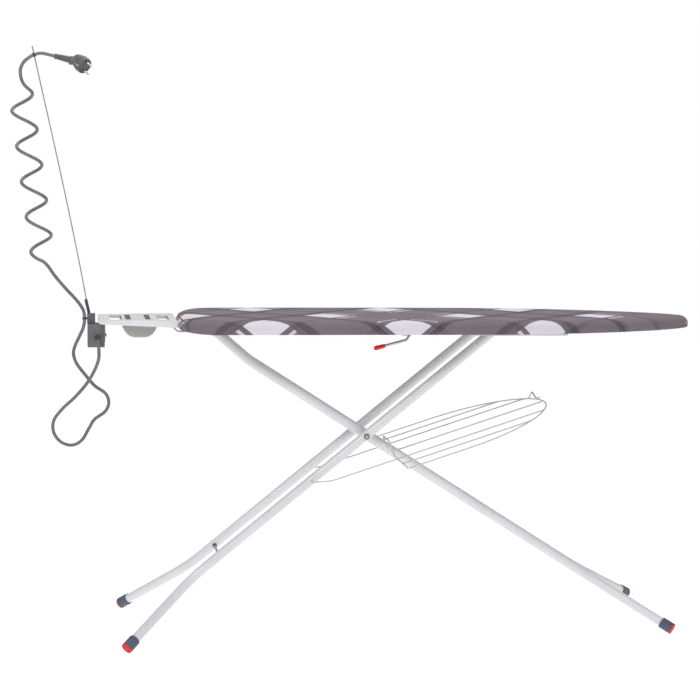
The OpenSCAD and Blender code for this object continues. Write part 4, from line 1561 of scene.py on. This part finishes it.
@dataclass
class LaundryRack(SubAssembly):
    """The white wire rack on the outer legs, drawn in its own sloped plane."""

    origin: tuple[float, float] = (502.0, 409.0)
    slope: float = 17.87
    half: float = 216.0
    reach: float = 386.0
    square: float = 150.0
    rounding: float = 1.9
    wire_r: float = 1.75

    def on(self, s: float, y: float, up: float = 0.0) -> Vector:
        """Gives a point by its distance along the rack, across it and above it."""
        c, d = math.cos(math.radians(self.slope)), math.sin(math.radians(self.slope))
        return shop(self.origin[0] + s * c - up * d, y, self.origin[1] + s * d + up * c)

    def end_at(self, y: float) -> float:
        """Gives where the rim is, along the rack, at a distance across it."""
        return self.square + (self.reach - self.square) * (1 - (abs(y) / self.half) ** self.rounding) ** 0.5

    def build_rim(self) -> None:
        """Bends the rim round the rack's end."""
        near = [self.on(3.5, -self.half), self.on(self.square, -self.half)]
        steps = 40
        for i in range(1, steps):
            u = math.sin(math.pi / 2 * i / steps)
            wide = self.half * max(0.0, 1 - u * u) ** (1 / self.rounding)
            near.append(self.on(self.square + (self.reach - self.square) * u, -wide))
        far = [Vector((p.x, -p.y, p.z)) for p in reversed(near)]
        rim = wire("rack_frame", near + [self.on(self.reach, 0)] + far, self.wire_r * MM, 14)
        self.fit(rim, Body.RACK, Finish.WIRE, ["rack_rim_near", "rack_rim_far"])

    def build_wires(self) -> None:
        """Lays the cross wire, with its hump over the inner legs, and the long wires."""
        half = [(0, 34), (38.5, 34), (44.5, 28), (44.5, 5), (49, 0), (self.half + self.wire_r, 0)]
        whole = [(-y, up) for y, up in reversed(half[1:])] + half[1:]
        corners = [self.on(0, y, up) for y, up in whole]
        hump = wire("rack_cross_wire", filleted(corners, 0.005, 6), self.wire_r * MM, 14)
        self.fit(hump, Body.RACK, Finish.WIRE, ["rack_saddle"])
        rods = []
        for y in (155, 92, 0, -92, -155):
            start = self.wire_r + (4 if y == 0 else 0)
            run = [self.on(start, y), self.on(self.end_at(y) - 3.5, y)]
            rods.append(wire("rod", run, self.wire_r * MM, 14))
        beads = []
        for y in (155, 92, -92, -155):
            for s in (0.9, self.end_at(y) - 2.6):
                beads.append(lathe("bead", self.on(s, y, -1.9), Vector((0, 0, 1)), [
                    (0, 1.0), (0.5, 1.9), (1.9, 2.35), (3.3, 1.9), (3.8, 1.0)], 14))
        self.fit(joined("rack_long_wires", rods + beads), Body.RACK, Finish.WIRE, ["rack_wires"])
        ends = ((-2, 70, 3.6), (-3, 60, 10), (-4, 50, 18), (-5, 42, 18), (-5, 34, 8), (-3, 26, 4),
                (-2, 18, 8))
        line = flowing([self.on(self.end_at(y) + s, y, up) for s, y, up in ends], 0.0015)
        loop = wire("rack_catch", line, self.wire_r * MM, 14)
        self.fit(loop, Body.RACK, Finish.ZINC, ["rack_end_loop"])

    def build_arms(self) -> None:
        """Bends the arms that hook into the outer legs."""
        slope = math.tan(math.radians(self.slope))
        start = self.on(-self.wire_r - 0.3, 92)
        x, z = start.x / MM + CENTRE_X, start.z / MM
        for side in Side:
            corners = [(x, 92, z), (350, 92, z - (x - 350) * slope), (306, 86, 356.11), (306, 67, 356.11)]
            line = filleted([shop(a, side.value * b, c) for a, b, c in corners], 0.005, 6)
            tag = side.name.lower()
            arm = wire(f"rack_stay_{tag}", line, self.wire_r * MM, 14)
            self.fit(arm, Body.RACK, Finish.WIRE, [f"rack_arm_{tag}"])

    def build(self) -> None:
        """Builds the rack."""
        self.build_rim()
        self.build_wires()
        self.build_arms()


# ---------------------------------------------------------------- iron rest and socket


@dataclass
class IronRest(SubAssembly):
    """The pressed plate that carries the iron, its strips, its pan and its rails."""

    top: float = 727.0
    strips: tuple[float, float] = (-111.0, -67.0)
    strip_size: tuple[float, float] = (11.5, 96.0)

    def build_strips(self) -> None:
        """Moulds the two ribbed rubber strips on which the iron stands."""
        width, length = self.strip_size
        made = []
        for x in self.strips:
            made.append(block("base", shop(x - width / 2, -length / 2, self.top),
                              shop(x + width / 2, length / 2, self.top + 1.4), 0.5, 2))
            for k in (-1, 0, 1):
                rib = [shop(x + k * 3.3, -length / 2 + 2.5, self.top + 1.1),
                       shop(x + k * 3.3, length / 2 - 2.5, self.top + 1.1)]
                made.append(wire("rib", rib, 0.0009, 10))
        self.fit(joined("rest_pads", made), Body.BOARD, Finish.STRIP, ["rest_strips"])

    def build(self) -> None:
        """Builds the rest."""
        self.soften("rest_plate", "rest_tray", Body.BOARD, Finish.REST, 0.7, 3)
        self.build_strips()
        self.soften("rest_pan", "rest_dish", Body.BOARD, Finish.PAN, 0.9, 3, 20)
        for side in Side:
            tag = side.name.lower()
            self.soften(f"rest_rail_{tag}", f"rest_strap_{tag}", Body.BOARD, Finish.ZINC, 0.6)


@dataclass
class SocketUnit(SubAssembly):
    """The mains socket on its tab under the rest, with the width of each piece's rounded edge."""

    tab_edge: float = 0.4
    screw_edge: float = 0.6
    box_edge: float = 0.9
    clip_edge: float = 0.25

    def build(self) -> None:
        """Builds the tab, the screw, the box and its earth clips."""
        self.soften("socket_tab", "box_bracket", Body.BOARD, Finish.REST, self.tab_edge)
        self.soften("socket_screw", "box_screw", Body.BOARD, Finish.FASTENER, self.screw_edge, 3)
        self.soften("socket_box", "box_shell", Body.BOARD, Finish.BOX, self.box_edge, 3, 30)
        self.soften("earth_clips", "box_earth_clips", Body.BOARD, Finish.BRASS, self.clip_edge)


def foot_point(splay: Point, x: float, y: float, radius: float = 13.4) -> Point:
    """Finds how high a foot's middle stands when its rim touches the floor.

    Args:
        splay: The bend above the foot.
        x: Where the foot stands, from the heel.
        y: Where it stands, across.
        radius: The pad's radius.

    Returns:
        The foot's middle.
    """
    z = radius
    for _ in range(6):
        lean = (Vector((x, y, z)) - Vector(splay)).normalized()
        z = radius * math.sqrt(1 - lean.z ** 2)
    return x, y, z


def leg_pairs() -> tuple[LegPair, LegPair]:
    """Lays out both pairs of legs."""
    slope = math.tan(math.radians(32.5))
    knee = (167.0, 28.0, BOLT_Z - (167 - BOLT_X) * slope)
    splay = (965.0, 28.0, BOLT_Z - (965 - BOLT_X) * slope)
    hinge = Vector((87, 28, 697))
    start = hinge + (hinge - Vector(knee)).normalized() * 8
    inner = LegPair("inner", Body.INNER, [tuple(start), knee, splay, foot_point(splay, 1147, 175)])
    bar = Vector((BAR_X, 61, BAR_Z))
    low = (35.0, 61.0, BOLT_Z + (35 - BOLT_X) * OUTER_SLOPE)
    head = bar + (bar - Vector(low)).normalized() * 13
    outer = LegPair("outer", Body.OUTER, [tuple(head), low, foot_point(low, -120, 200)])
    return inner, outer


def main() -> None:
    """Builds the studio, the cord and then the board from the top down."""
    logging.basicConfig(level=logging.INFO, format="%(name)s: %(message)s")
    studio = Studio()
    studio.place_camera()
    MainsLead().build()
    BoardTop().build()
    Underframe().build()
    for pair in leg_pairs():
        pair.build()
    ScissorBolt().build()
    LaundryRack().build()
    IronRest().build()
    SocketUnit().build()
    studio.light()
    studio.lay_floor()


if __name__ == "__main__":
    main()
